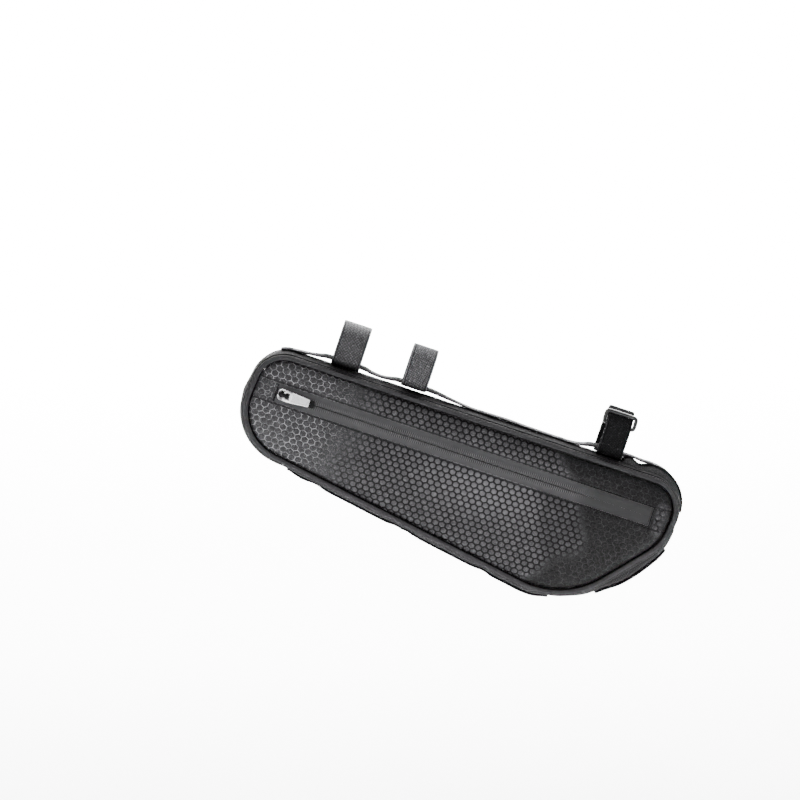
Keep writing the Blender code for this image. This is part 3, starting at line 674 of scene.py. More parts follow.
# The piping gets painted shade to either side of its outward line.
PIPING_CLOTH = make_woven(
    "piping cloth", grey(0.024), grey(0.016), 1700.0, 0.6, 0.05 * MM, flecks=0.15, lint=0.06, gloss=0.03,
    painted_shade_off_line=PIPING_RADIUS * math.pi / 2
)
BINDING_CLOTH = make_woven("binding cloth", grey(0.012), grey(0.004), 1500.0, 0.55, 0.08 * MM, lint=0.06)
WEBBING_CLOTH = make_woven(
    "webbing cloth", grey(0.009), grey(0.003), 620.0, 0.65, 0.35 * MM, slant=45.0, flecks=0.45,
    selvedge=10.0 * MM
)
FRONT_STRAP_CLOTH = make_woven(
    "front strap cloth", grey(0.034), grey(0.006), 520.0, 0.55, 0.4 * MM, slant=38.0, flecks=0.55,
    selvedge=12.5 * MM, gloss=0.08, painted_shade_at_bottom=True
)
MIDDLE_STRAP_CLOTH = make_woven(
    "middle strap cloth", grey(0.044), grey(0.006), 600.0, 0.75, 0.4 * MM, slant=12.0, flecks=0.80,
    selvedge=11.0 * MM, gloss=0.04, painted_shade_at_bottom=True
)
REAR_STRAP_CLOTH = make_woven(
    "rear strap cloth", grey(0.006), grey(0.002), 600.0, 0.9, 0.45 * MM, slant=25.0, flecks=0.60, lint=0.12,
    selvedge=11.0 * MM
)
print("made the woven cloths")

# %% [markdown]
# A panel is a sheet sewn down along its piping and, on the left, round the zip. The cloth simulation moves a
# coarse trial sheet with its seams pinned. The right panel has no zip, so only its piping seam is pinned there:
# its middle is loose, and most of its moves are larger than the cap and are cut off at it. The fine sheet, laid
# out in rings, takes the size of each move, whichever way it went, as its swelling outwards.

# %% Pinned swelling
SWELL_CAP = 1.6 * MM
TRIAL_STEP = 4
TRIAL_RINGS = 10
TRIAL_FRAMES = 20


def trial_swelling(name, rows, flip, seams):
    """Lets pressure move a coarse sheet with pinned seams, and tells how far each place moves, up to the cap."""
    trial = sheet_of_rows(name, rows, closed=True, flip=flip)
    group = trial.vertex_groups.new(name="seams")
    group.add(seams, 1.0, "REPLACE")
    cloth = trial.modifiers.new("Cloth", "CLOTH")
    cloth.settings.quality = 8
    cloth.settings.mass = 0.02
    cloth.settings.tension_stiffness = 15.0
    cloth.settings.compression_stiffness = 15.0
    cloth.settings.bending_stiffness = 0.5
    cloth.settings.vertex_group_mass = "seams"
    cloth.settings.use_pressure = True
    cloth.settings.uniform_pressure_force = 4.0
    cloth.settings.effector_weights.gravity = 0.0
    cloth.point_cache.frame_start = 1
    cloth.point_cache.frame_end = TRIAL_FRAMES
    for number in range(1, TRIAL_FRAMES + 1):
        bpy.context.scene.frame_set(number)
    graph = bpy.context.evaluated_depsgraph_get()
    moved = [vertex.co.y for vertex in trial.evaluated_get(graph).data.vertices]
    bpy.context.scene.frame_set(1)
    bpy.data.objects.remove(trial)
    count = len(rows[0])
    table = []
    for ring, row in enumerate(rows):
        steps = [abs(moved[ring * count + index] - place[1]) for index, place in enumerate(row)]
        table.append([min(step, SWELL_CAP) if math.isfinite(step) else 0.0 for step in steps])
    print(name, "swelled by up to", round(max(map(max, table)) / MM, 2), "mm")
    return table


def swelling_at(table, share, index):
    """Reads the trial's table between its places."""
    depth = min(share * TRIAL_RINGS, TRIAL_RINGS - 0.001)
    around = index / TRIAL_STEP
    ring, spot = int(depth), int(around)
    after = (spot + 1) % len(table[0])
    low = table[ring][spot] + (table[ring][after] - table[ring][spot]) * (around - spot)
    high = table[ring + 1][spot] + (table[ring + 1][after] - table[ring + 1][spot]) * (around - spot)
    return low + (high - low) * (depth - ring)


# %% The two panels
def opening_edge(point, half, corner):
    """The place on the edge of the zip's opening that is nearest to a point outside it."""
    u = min(max(point.x, ZIP_FRONT + corner), ZIP_REAR - corner)
    w = min(max(point.y, ZIP_W - half + corner), ZIP_W + half - corner)
    core = Vector((u, w))
    return core + (point - core).normalized() * corner


# Half the height of the opening and the radius of its corners: the zip's, and a closed one on the right
ZIP_OPENING = (ZIP_HALF + 0.2 * MM, 1.0 * MM)
NO_OPENING = (0.9 * MM, 0.8 * MM)
SEAM_TUCK = 2.4 * MM
TUCK_REACH = 1.1 * MM
DENT_DEPTH = 0.55 * MM
# The larger this is, the nearer to the piping the panel has risen to its full height
CROWN_POWER = 3.4


def panel_place(spot, share, side):
    """A place on a panel's outer face: share is 0 at the piping and 1 at the zip."""
    half, corner = ZIP_OPENING if side < 0 else NO_OPENING
    point, normal, _ = spot
    outer = point - normal * (PIPING_RADIUS + 0.1 * MM)
    place = outer.lerp(opening_edge(outer, half, corner), share)
    tuck = SEAM_TUCK * math.exp(-(place - outer).length / TUCK_REACH)
    crown = PANEL_CROWN * (1.0 - (1.0 - share) ** CROWN_POWER)
    dents = noise.noise(Vector((place.x * 26.0, place.y * 34.0, 3.1 * side))) * DENT_DEPTH
    height = PANEL_EDGE_Y + crown - tuck + dents * math.sin(math.pi * share) - CLEARANCE
    return place.x, side * height, place.y


def make_panel(name, side, rings=34):
    """The left panel is open for the zip, and the right one is whole."""
    left = side < 0
    table = None
    shares = [ring / TRIAL_RINGS for ring in range(TRIAL_RINGS + 1)]
    trial = [[panel_place(spot, share, side) for spot in SPOTS[::TRIAL_STEP]] for share in shares]
    count = len(trial[0])
    seams = list(range(count))
    if left:
        seams += range(count * TRIAL_RINGS, count * (TRIAL_RINGS + 1))
    table = trial_swelling(name + "_trial", trial, left, seams)
    rows = []
    for ring in range(rings + 1):
        share = 0.5 - 0.5 * math.cos(math.pi * (ring / rings) ** 0.9)
        row = []
        for index, spot in enumerate(SPOTS):
            x, y, z = panel_place(spot, share, side)
            swelling = swelling_at(table, share, index) if table else 0.0
            row.append((x, y + side * swelling, z))
        rows.append(row)
    panel = sheet_of_rows(name, rows, closed=True, flip=left, cap=not left)
    add_wall(panel, PANEL_WALL, -1)
    into_world(panel)
    finish(panel, PANEL_CLOTH, "bag", (name.replace("_cloth", ""),))
    return panel


for side_name, side in SIDES.items():
    make_panel(side_name + "_panel_cloth", side)

# %% [markdown]
# The gusset is the woven band that runs right round between the two pipings. It bulges along its middle and
# is drawn in at its seams. Along the bottom it is also drawn in wherever the webbing is tacked down through
# it, and it carries soft creases between.

# %% Where the webbing is tacked down
# The tacks along the bottom, as u
TACKS = [-79.0 * MM, -52.0 * MM, 26.0 * MM, 35.0 * MM, 107.5 * MM, 164.0 * MM, 203.0 * MM]
TACK_PINCH = 1.4 * MM
TACK_REACH = 7.0 * MM


def pinch(point, normal):
    """How far the bottom of the gusset is drawn in at a place, by the nearest tack."""
    if normal.y > 0.0:
        return 0.0
    nearest = min(abs(point.x - tack) for tack in TACKS)
    return TACK_PINCH * math.exp(-(nearest / TACK_REACH) ** 2)


# %% Where the top webbing runs
WEBBING_WALL = 1.5 * MM
REAR_STRAP_EDGE = 0.190
SLIT_MIDDLE = 0.2065


def inner_chain(node):
    """Reads a webbing strip's run off its solid: the points along its inner face, from its front end."""
    mesh = bmesh.new()
    mesh.from_mesh(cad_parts[node].data)
    mesh.transform(TURN.inverted())
    bmesh.ops.remove_doubles(mesh, verts=mesh.verts, dist=MERGE)
    edge_y = max(vertex.co.y for vertex in mesh.verts)
    links = {}
    for edge in mesh.edges:
        start, end = edge.verts
        on_side = min(start.co.y, end.co.y) > edge_y - 0.0001
        outline_edge = any(abs(face.normal.y) < 0.5 for face in edge.link_faces)
        if on_side and outline_edge and edge.calc_length() > WEBBING_WALL * 1.25:
            links.setdefault(start, []).append(end)
            links.setdefault(end, []).append(start)
    chains = []
    for first in [vertex for vertex, near in links.items() if len(near) == 1]:
        if any(first in chain for chain in chains):
            continue
        chain = [first]
        while True:
            following = [vertex for vertex in links[chain[-1]] if vertex not in chain]
            if not following:
                break
            chain.append(following[0])
        chains.append(chain)
    chains.sort(key=len, reverse=True)
    middle = Vector((0.05, -0.085))
    runs = [[Vector((vertex.co.x, 0.0, vertex.co.z)) for vertex in chain] for chain in chains[:2]]
    mesh.free()
    reach = [sum((Vector((point.x, point.z)) - middle).length for point in run) / len(run) for run in runs]
    inner = runs[0] if reach[0] < reach[1] else runs[1]
    return inner if inner[0].x < inner[-1].x else inner[::-1]


def smooth_path(points, spacing):
    """A finer path through the points, as a Catmull-Rom curve."""
    path = []
    for index in range(len(points) - 1):
        before = points[max(index - 1, 0)]
        start, end = points[index], points[index + 1]
        after = points[min(index + 2, len(points) - 1)]
        steps = max(1, round((end - start).length / spacing))
        for step in range(steps):
            t = step / steps
            path.append(
                0.5 * (2 * start + (end - before) * t + (2 * before - 5 * start + 4 * end - after) * t**2
                       + (3 * start - before - 3 * end + after) * t**3)
            )
    path.append(points[-1])
    return path


TOP_LINE = [Vector((place.x, place.z)) for place in smooth_path(inner_chain("top_webbing"), 1.0 * MM)]


def swelled_rise(point, normal, rise):
    """Behind the rear strap the gusset swells until it nearly meets the webbing, but for a small slit."""
    if normal.y < 0.2 or point.x < REAR_STRAP_EDGE:
        return rise
    nearest = min(TOP_LINE, key=lambda place: (place - point - normal * rise).length)
    room = (nearest - point).dot(normal) - GUSSET_EDGE_RISE + 0.3 * MM
    off_slit = 0.45 + 0.55 * min(max((abs(point.x - SLIT_MIDDLE) - 2.0 * MM) / (7.0 * MM), 0.0), 1.0)
    begins = min((point.x - REAR_STRAP_EDGE) / (3.0 * MM), 1.0)
    return rise + max(min(room - rise, 7.0 * MM), 0.0) * off_slit * begins


print("the top webbing runs through", len(TOP_LINE), "points")


# %% The gusset
def make_gusset(columns=26):
    rows = []
    places = []
    for column in range(columns + 1):
        across = -1.0 + 2.0 * column / columns
        row = []
        for (point, normal, rise), along in zip(SPOTS, ALONG):
            fullness = 1.0 - abs(across) ** 2.6
            seam = 1.1 * MM * math.exp(-(1.0 - abs(across)) * GUSSET_HALF / (1.5 * MM))
            crease = noise.noise(Vector((point.x * 60.0, point.y * 60.0, across * 1.3))) * 0.9 * MM
            crease = min(crease * (1.0 - across**2), 0.1 * MM)
            drawn = swelled_rise(point, normal, rise) - pinch(point, normal)
            out = GUSSET_EDGE_RISE + drawn * fullness - seam + crease
            place = point + normal * out
            row.append((place.x, across * GUSSET_HALF, place.y))
            places.append((along, across * GUSSET_HALF))
        rows.append(row)
    gusset = sheet_of_rows("gusset_cloth", rows, closed=True)
    map_rings(gusset, places)
    add_wall(gusset, GUSSET_WALL, -1)
    into_world(gusset)
    return finish(gusset, GUSSET_CLOTH, "bag", ("gusset",))


make_gusset()

# %% [markdown]
# Piping is a cord wrapped in a folded tape, and the tape's two raw edges are sewn in behind it. From the
# side it shows as a round bar and then, past a dark groove, the folded edge of the gusset's binding as a
# second, thinner line. Both are rings of points carried round the outline.


# %% The piping and its binding
def make_ring_bar(name, side, offset, y, radius, around, material, replaces=()):
    """A round bar along the outline, its middle at offset outwards from it and at y across the bag."""
    rows = []
    places = []
    for index in range(around):
        angle = 2 * math.pi * index / around
        row = []
        for (point, normal, _), along in zip(SPOTS, ALONG):
            lumps = 1.0 + 0.05 * noise.noise(Vector((point.x * 90.0, point.y * 90.0, side)))
            place = point + normal * (offset + math.cos(angle) * radius * lumps)
            row.append((place.x, side * (y + math.sin(angle) * radius * lumps), place.y))
            places.append((along, angle * radius))
        rows.append(row)
    rows.append(rows[0])
    places += [(along, 2 * math.pi * radius) for along in ALONG]
    bar = sheet_of_rows(name, rows, closed=True, flip=side > 0)
    map_rings(bar, places)
    select_only(bar)
    bpy.ops.object.mode_set(mode="EDIT")
    bpy.ops.mesh.select_all(action="SELECT")
    bpy.ops.mesh.remove_doubles(threshold=MERGE)
    bpy.ops.mesh.normals_make_consistent(inside=False)
    bpy.ops.object.mode_set(mode="OBJECT")
    into_world(bar)
    return finish(bar, material, "bag", replaces)


for side_name, side in SIDES.items():
    node = side_name + "_piping"
    make_ring_bar(node + "_cloth", side, 0.0, PIPING_Y, PIPING_RADIUS, 14, PIPING_CLOTH, (node,))
    make_ring_bar(side_name + "_binding", side, 2.9 * MM, PIPING_Y - 3.3 * MM, 0.9 * MM, 8, BINDING_CLOTH)

# %% [markdown]
# The zip is a coated one. Each half is a strip of tape whose inner edge rolls over the hidden coil and
# meets the other half in a thin slit. The coil shows through the coating as fine ribs on both sides of the
# slit.


# %% The zip tapes
# Behind the first of these places, as u, the coil shows less and less through the coating
COIL_FADES = (0.150, 0.180)
COIL_PITCH = 1.7 * MM


def make_tape_cloth():
    material, tree, shader = new_material("zip tape cloth", grey(0.042), 0.42, specular=0.12)
    flat, u, w, _ = sloping_places(tree)
    from_slit = gap_to(tree, w, ZIP_W)
    starts = steps_between(tree, from_slit, 0.6 * MM, 1.2 * MM)
    stops = steps_between(tree, from_slit, 3.6 * MM, 4.6 * MM, 1.0, 0.0)
    wave = maths(tree, "SINE", product(tree, u, 2 * math.pi / COIL_PITCH))
    uneven = steps_between(tree, clouds(tree, flat, 30.0, 2.0), 0.35, 0.65, 0.35, 1.0)
    shows = steps_between(tree, u, *COIL_FADES, 1.0, 0.0)
    ribs = product(tree, wave, starts, stops, uneven, shows)
    tint = maths(tree, "MULTIPLY_ADD", ribs, 0.5, 0.5)
    body = mixed(tree, tint, opaque(grey(0.006)), opaque(grey(0.050)))
    body = mixed(tree, shows, opaque(grey(0.016)), body)
    slit = product(tree, steps_between(tree, from_slit, 0.2 * MM, 0.7 * MM, 0.8, 0.0), shows)
    body = mixed(tree, slit, body, opaque(grey(0.002)))
    lint = group_node(tree, LINT, Vector=flat, Color=body, Amount=0.05, Rough=0.42)
    colour_and_roughness(tree, shader, lint.outputs["Color"], lint.outputs["Rough"])
    weave = group_node(tree, WEAVE, Vector=flat, Threads=1900.0)
    bump(tree, shader, maths(tree, "MULTIPLY_ADD", weave.outputs["Height"], 0.12, ribs), 0.16 * MM)
    return material


TAPE_CLOTH = make_tape_cloth()
TAPE_Y = 33.6 * MM
# How far from the slit, and how high over the tape's face, both in millimetres
TAPE_PROFILE = [
    (0.12, -1.10), (0.12, -0.45), (0.22, -0.16), (0.45, 0.06), (0.90, 0.20), (1.80, 0.27), (3.20, 0.27),
    (4.40, 0.18), (5.00, 0.06), (5.60, 0.00), (7.00, -0.02), (8.05, -0.05), (8.12, -0.20), (8.12, -1.10),
]


# Inside this many millimetres the profile rolls over the coil
ROLL_HALF = 5.0
TAPE_STATIONS = 160


def make_tape(half, side):
    rows = []
    fades_from, fades_to = COIL_FADES
    for station in range(TAPE_STATIONS + 1):
        u = ZIP_FRONT + 1.2 * MM + (ZIP_REAR - ZIP_FRONT - 1.6 * MM) * station / TAPE_STATIONS
        ripple = noise.noise(Vector((u * 40.0, side * 2.0, 0.5))) * 0.12 * MM
        shows = 1.0 - min(max((u - fades_from) / (fades_to - fades_from), 0.0), 1.0)
        row = []
        for away, rise in TAPE_PROFILE:
            if away < ROLL_HALF and rise > -0.5:
                away, rise = away - 0.10 * (1.0 - shows) * (away < 0.5), rise * shows
            row.append((u, -TAPE_Y - rise * MM - ripple, ZIP_W + side * away * MM))
        rows.append(row)
    node = "zip_tape_" + half
    tape = sheet_of_rows(node + "_cloth", rows, closed=True, cap=True)
    close_ends(tape)
    into_world(tape)
    return finish(tape, TAPE_CLOTH, "bag", (node,))


def close_ends(piece):
    """Fills the open ends of a tube and turns its faces outwards."""
    select_only(piece)
    bpy.ops.object.mode_set(mode="EDIT")
    bpy.ops.mesh.select_mode(type="EDGE")
    bpy.ops.mesh.select_all(action="DESELECT")
    bpy.ops.mesh.select_non_manifold()
    bpy.ops.mesh.edge_face_add()
    bpy.ops.mesh.select_all(action="SELECT")
    bpy.ops.mesh.normals_make_consistent(inside=False)
    bpy.ops.object.mode_set(mode="OBJECT")
    piece.select_set(False)


make_tape("upper", 1)
make_tape("lower", -1)

# %% [markdown]
# Ribbons come next: the webbing along the gusset and the three straps. A ribbon is a cross-section with
# soft edges carried along a path. It gets a map of its own, in metres along and across, so that its weave
# follows it round every bend.


# %% The ribbon helper
# Across from the middle, as a share of the half width, and the share of the wall that is left there
RIBBON_EDGE = [
    (0.0, 1.0), (0.30, 1.0), (0.60, 1.0), (0.84, 1.0),
    (0.88, 0.86), (0.92, 0.95), (0.97, 0.86), (1.0, 0.55),
]
# Towards each end a ribbon narrows by this share, over this length
END_NARROWS = 0.14
END_ROUNDED = 2.0 * MM


def make_ribbon(name, path, across, width, wall, rough, droop=None):
    """Carries the cross-section along a path on the ribbon's inner face. Across is a unit vector.

    Droop says, for each place of the path, how far the two long edges hang below the middle.
    """
    half = [(-share, left) for share, left in RIBBON_EDGE[:0:-1]] + RIBBON_EDGE
    lengths = [0.0]
    for start, end in zip(path, path[1:]):
        lengths.append(lengths[-1] + (end - start).length)
    rows = []
    spots = []
    for index, place in enumerate(path):
        along = (path[min(index + 1, len(path) - 1)] - path[max(index - 1, 0)]).normalized()
        out = along.cross(across).normalized()
        from_end = min(lengths[index], lengths[-1] - lengths[index])
        narrow = 1.0 - END_NARROWS * (1.0 - min(from_end / END_ROUNDED, 1.0)) ** 2
        hang = droop[index] if droop else 0.0
        row = []
        for face, shares in ((1, half), (-1, half[::-1])):
            for share, left in shares:
                wave = noise.noise(place * 70.0 + across * share) * rough - hang * share**4
                lift = wall * (0.5 + face * left / 2) + wave
                row.append(place + across * (share * narrow * width / 2) + out * lift)
                spots.append((lengths[index], share * width / 2))
        rows.append(row)
    ribbon = sheet_of_rows(name, rows, closed=True)
    layer = ribbon.data.uv_layers.new(name="Ribbon")
    for loop in ribbon.data.loops:
        layer.data[loop.index].uv = spots[loop.vertex_index]
    close_ends(ribbon)
    return into_world(ribbon)


# %% Webbing along the gusset
WEBBING_WIDTH = 20.0 * MM
LARGEST_DROOP = 2.2 * MM


def on_gusset(place):
    """Moves a place near the gusset's middle onto it, where the tacks draw it in too."""
    flat = Vector((place.x, place.z))
    point, normal, rise = min(SPOTS, key=lambda spot: (spot[0] - flat).length)
    drawn = swelled_rise(point, normal, rise) - pinch(point, normal)
    here = point + normal * (GUSSET_EDGE_RISE + drawn + 0.15 * MM)
    along = Vector((normal.y, -normal.x))
    here += along * (flat - point).dot(along)
    return Vector((here.x, 0.0, here.y))


def edge_droop(place):
    """Where the top webbing is lifted off the gusset, its long edges hang down by half of that lift."""
    lift = (place - on_gusset(place)).length
    return min(max(lift - 0.8 * MM, 0.0) * 0.5, LARGEST_DROOP)


for node in ("top_webbing", "bottom_webbing", "rear_webbing"):
    run = smooth_path(inner_chain(node), 2.0 * MM)
    top = node == "top_webbing"
    droop = [edge_droop(place) for place in run] if top else None
    if not top:
        run = [on_gusset(place) for place in run]
    across = Vector((0.0, 1.0 if top else -1.0, 0.0))
    strip = make_ribbon(node + "_cloth", run, across, WEBBING_WIDTH, WEBBING_WALL, 0.12 * MM, droop)
    print(node, "runs through", len(run), "points")
    finish(strip, WEBBING_CLOTH, "bag", (node,))

# %% [markdown]
# Each strap goes once round the seat under the top webbing and on over itself, hook on loop. Its path is
# counted in quarter turns: a half circle over the top, two straight sides, and two rounded corners below.

# %% The straps' path
STRAP_WALL = 1.8 * MM
STRAP_RADIUS = 15.0 * MM
STRAP_DEPTH = 16.4 * MM
STRAP_CORNER = 4.0 * MM
# The rounded corner takes this stretch of the second quarter turn
CORNER_FROM = 0.35
CORNER_TO = 0.65
RING_BAR = 2.4 * MM
FOLD_RISE = 2.4 * MM
# name, along, width, lane, start, end, fold, cloth
STRAPS = [
    ("front_strap", 0.185, 25.0 * MM, STRAP_WALL, -0.60, 1.60, 0.0, FRONT_STRAP_CLOTH),
    ("middle_strap", 0.348, 22.0 * MM, STRAP_WALL, -0.60, 1.50, 0.0, MIDDLE_STRAP_CLOTH),
    ("rear_strap", 0.816, 22.0 * MM, RING_BAR, 0.85, 1.65, 1.0, REAR_STRAP_CLOTH),
]


def eased(value, low, high):
    share = min(max((value - low) / (high - low), 0.0), 1.0)
    return share * share * (3 - 2 * share)


def loop_place(turn, rise):
    """A place on the loop, counted in quarter turns from the top down the left side and underneath."""
    turn %= 4.0
    low = STRAP_DEPTH - STRAP_CORNER
    flat = STRAP_RADIUS - STRAP_CORNER
    if turn <= 1.0 or turn >= 3.0:
        angle = turn * math.pi / 2
        return Vector((0.0, -math.sin(angle), math.cos(angle))) * (STRAP_RADIUS + rise)
    mirrored = turn > 2.0
    share = 3.0 - turn if mirrored else turn - 1.0
    if share <= CORNER_FROM:
        place = Vector((0.0, -STRAP_RADIUS - rise, -low * share / CORNER_FROM))
    elif share <= CORNER_TO:
        angle = (share - CORNER_FROM) / (CORNER_TO - CORNER_FROM) * math.pi / 2
        corner = Vector((0.0, -flat, -low))
        place = corner - Vector((0.0, math.cos(angle), math.sin(angle))) * (STRAP_CORNER + rise)
    else:
        share = (share - CORNER_TO) / (1.0 - CORNER_TO)
        place = Vector((0.0, -flat * (1.0 - share), -STRAP_DEPTH - rise))
    if mirrored:
        place.y = -place.y
    return place


def strap_path(row, step=0.035):
    _, along, _, lane, start, end, fold, _ = row
    u = FRONT_END + along * BAG_LENGTH
    path = []
    last = 4.0 + end
    count = math.ceil((last - start) / step)
    for number in range(count + 1):
        turn = start + (last - start) * number / count
        climb = (lane + CLEARANCE) * min(max((turn - 1.70) / 0.60, 0.0), 1.0)
        bunch = min(eased(turn, 3.40, 3.95), 1.0 - eased(turn, 3.95, 4.22))
        slack = 0.5 * MM * eased(turn, last - 0.35, last)
        path.append(loop_place(turn, climb + fold * FOLD_RISE * bunch + slack) + Vector((u, 0.0, 0.0)))
    return path


rearwards = Vector((1.0, 0.0, 0.0))
for row in STRAPS:
    node, _, width, _, _, _, _, cloth = row
    strap = make_ribbon(node + "_cloth", strap_path(row), rearwards, width, STRAP_WALL, 0.10 * MM)
    finish(strap, cloth, "bag", (node,))

# %% [markdown]
# Stitches hold all this together. One stitch is a small stretched sphere, modelled once and copied along
# each seam. A ray cast onto the cloth gives each copy its height, so the rows follow the panel's crown.


# %% The stitch helper
def thread_material():
    material, tree, shader = new_material("thread", grey(0.035), 0.8, specular=0.05)
    grain = clouds(tree, sloping_places(tree)[0], 2600.0, 2.0)
    colour = mixed(tree, grain, opaque(grey(0.006)), opaque(grey(0.030)))
    put(tree, shader.inputs["Base Color"], colour)
    bump(tree, shader, grain, 0.05 * MM)
    return material


THREAD = thread_material()
STITCH_PITCH = 2.9 * MM
STITCH_LENGTH = 2.1 * MM
STITCH_WIDTH = 0.62 * MM
TACK_LENGTH = 1.9 * MM
TACK_WIDTH = 0.6 * MM
# Far enough from the bag to cast a ray from outside it
OUTSIDE = 60.0 * MM


def add_stitches(name, places, length, width):
    """Places are (centre, direction along, outward normal), all in the world."""
    bpy.ops.mesh.primitive_uv_sphere_add(segments=8, ring_count=5, radius=0.5)
    stitch = bpy.context.object
    pattern = stitch.data
    shape = bmesh.new()
    for centre, along, out in places:
        side = out.cross(along).normalized()
        along = side.cross(out).normalized()
        turn = Matrix((along * length, side * width, out * width * 0.7)).transposed().to_4x4()
        turn.translation = centre
        before = len(shape.verts)
        shape.from_mesh(pattern)
        shape.verts.ensure_lookup_table()
        bmesh.ops.transform(shape, matrix=turn, verts=shape.verts[before:])
    mesh = bpy.data.meshes.new(name)
    shape.to_mesh(mesh)
    shape.free()
    bpy.data.objects.remove(stitch)
    print(name, "has", len(places), "stitches")
    return finish(new_object(name, mesh), THREAD, "bag")


def local(u, y, w):
    return TURN @ Vector((u, y, w))


def seam_row(piece, start, end):
    """A row of stitches on the left panel between two places given as (u, w)."""
    start, end = Vector(start), Vector(end)
    count = max(2, round((end - start).length / STITCH_PITCH))
    along = local(end.x - start.x, 0.0, end.y - start.y).normalized()
    places = []
    for number in range(count):
        spot = start.lerp(end, (number + 0.5) / count)
        hit, place, normal, _ = piece.ray_cast(local(spot.x, -OUTSIDE, spot.y), Vector((0.0, 1.0, 0.0)))
        if hit:
            places.append((place + normal * 0.02 * MM, along, normal))
    return places


# %% Stitch the zip in
left_cloth = bpy.data.objects["left_panel_cloth"]
stitches = []
for sign in (1, -1):
    w = ZIP_W + sign * (ZIP_HALF + HEM)
    stitches += seam_row(left_cloth, (ZIP_FRONT - HEM, w), (ZIP_REAR + HEM, w))
    stitches += seam_row(left_cloth, (FRONT_END + 5.5 * MM, w), (ZIP_FRONT - HEM, w))
    stitches += seam_row(left_cloth, (ZIP_REAR + HEM, w), (REAR_END - 7.5 * MM, w))
for u in (ZIP_FRONT - 1.4 * MM, ZIP_FRONT - 3.4 * MM, ZIP_REAR + 1.4 * MM):
    stitches += seam_row(left_cloth, (u, ZIP_W - ZIP_HALF), (u, ZIP_W + ZIP_HALF))
add_stitches("zip_stitches", stitches, STITCH_LENGTH, STITCH_WIDTH)


# %% Tack the webbing down
# Each tack is two rows of stitches, and along the top these are their places, as u
TOP_TACKS = [-110.5 * MM, 62.5 * MM, 135.0 * MM]
TACK_ROWS = (-1.3 * MM, 1.3 * MM)
TACK_STITCHES = 12
TACK_HALF = 8.0 * MM


def tack_rows(node, tacks, w, outward):
    """Short dense rows of stitches across webbing, where it is sewn to the gusset."""
    piece = bpy.data.objects[node + "_cloth"]
    places = []
    for u in tacks:
        for row in TACK_ROWS:
            for number in range(TACK_STITCHES):
                y = TACK_HALF * (2.0 * number / (TACK_STITCHES - 1) - 1.0)
                start = local(u + row, y, w) + outward * OUTSIDE / 2
                hit, place, normal, _ = piece.ray_cast(start, -outward)
                if hit:
                    places.append((place, normal.cross(Vector((0.0, 1.0, 0.0))), normal))
    return places


up = local(0.0, 0.0, 1.0).normalized()
places = tack_rows("top_webbing", TOP_TACKS, -20.0 * MM, up)
places += tack_rows("bottom_webbing", TACKS[:-1], -140.0 * MM, -up)
add_stitches("webbing_tacks", places, TACK_LENGTH, TACK_WIDTH)

# %% [markdown]
# The slider and its pull are cast metal. They are modelled as by hand: a cube is cut, extruded and bevelled
# in edit mode. All of it is laid out round the hinge first and then put in its place on the tape.

# %% Hand modelling helpers
HINGE = Vector((ZIP_FRONT + 7.7 * MM, -37.1 * MM, ZIP_W))
PULL_LENGTH = 27.0 * MM
PULL_TILT = math.asin(2.0 * MM / PULL_LENGTH)


def add_block(name, low, high):
    """A cube between two corners, left in edit mode."""
    bpy.ops.object.select_all(action="DESELECT")
    low, high = Vector(low), Vector(high)
    bpy.ops.mesh.primitive_cube_add(size=1.0, location=(low + high) / 2, scale=high - low)
    block = bpy.context.object
    block.name = name
    block.data.name = name
    bpy.ops.object.transform_apply(location=True, rotation=True, scale=True)
    bpy.ops.object.mode_set(mode="EDIT")
    return block


def cut_at(places, axis):
    """Cuts right through the piece at each place along an axis."""
    normal = Vector((0.0, 0.0, 0.0))
    normal[axis] = 1.0
    for place in places:
        bpy.ops.mesh.select_all(action="SELECT")
        bpy.ops.mesh.bisect(plane_co=normal * place, plane_no=normal)


def choose(piece, kind, test):
    """Selects the faces or edges that pass a test on their centre and direction."""
    bpy.ops.mesh.select_mode(type=kind)
    bpy.ops.mesh.select_all(action="DESELECT")
    shape = bmesh.from_edit_mesh(piece.data)
    if kind == "FACE":
        for face in shape.faces:
            face.select_set(test(face.calc_center_median(), face.normal))
    else:
        for edge in shape.edges:
            start, end = (vertex.co for vertex in edge.verts)
            edge.select_set(test((start + end) / 2, (end - start).normalized()))
    bmesh.update_edit_mesh(piece.data)


def round_off(offset, segments):
    """Rounds the chosen edges in edit mode."""
    bpy.ops.mesh.bevel(offset=offset, segments=segments, affect="EDGES")


def add_bevel(piece, width, segments=3, angle=35.0):
    modifier = piece.modifiers.new("Bevel", "BEVEL")
    modifier.width = width
    modifier.segments = segments
    modifier.limit_method = "ANGLE"
    modifier.angle_limit = math.radians(angle)


# %% Metal, rubber and plastic
def make_metal(name, color, roughness, grain_depth):
    material, tree, shader = new_material(name, color, roughness, metallic=1.0)
    flat = sloping_places(tree)[0]
    smudges = clouds(tree, flat, 420.0, 4.0)
    smudges = steps_between(tree, smudges, 0.3, 0.7, roughness * 0.75, roughness * 1.3)
    wear_and_highlight = steps_between(tree, clouds(tree, flat, 900.0, 3.0), 0.45, 0.75)
    colour_and_roughness(tree, shader, mixed(tree, wear_and_highlight, opaque(color), opaque(color, 0.72)), smudges)
    bump(tree, shader, clouds(tree, flat, 2800.0, 2.0), grain_depth)
    return material


POLISHED = make_metal("polished metal", (0.80, 0.80, 0.81), 0.22, 0.02 * MM)
BLASTED = make_metal("blasted metal", (0.50, 0.50, 0.51), 0.50, 0.16 * MM)


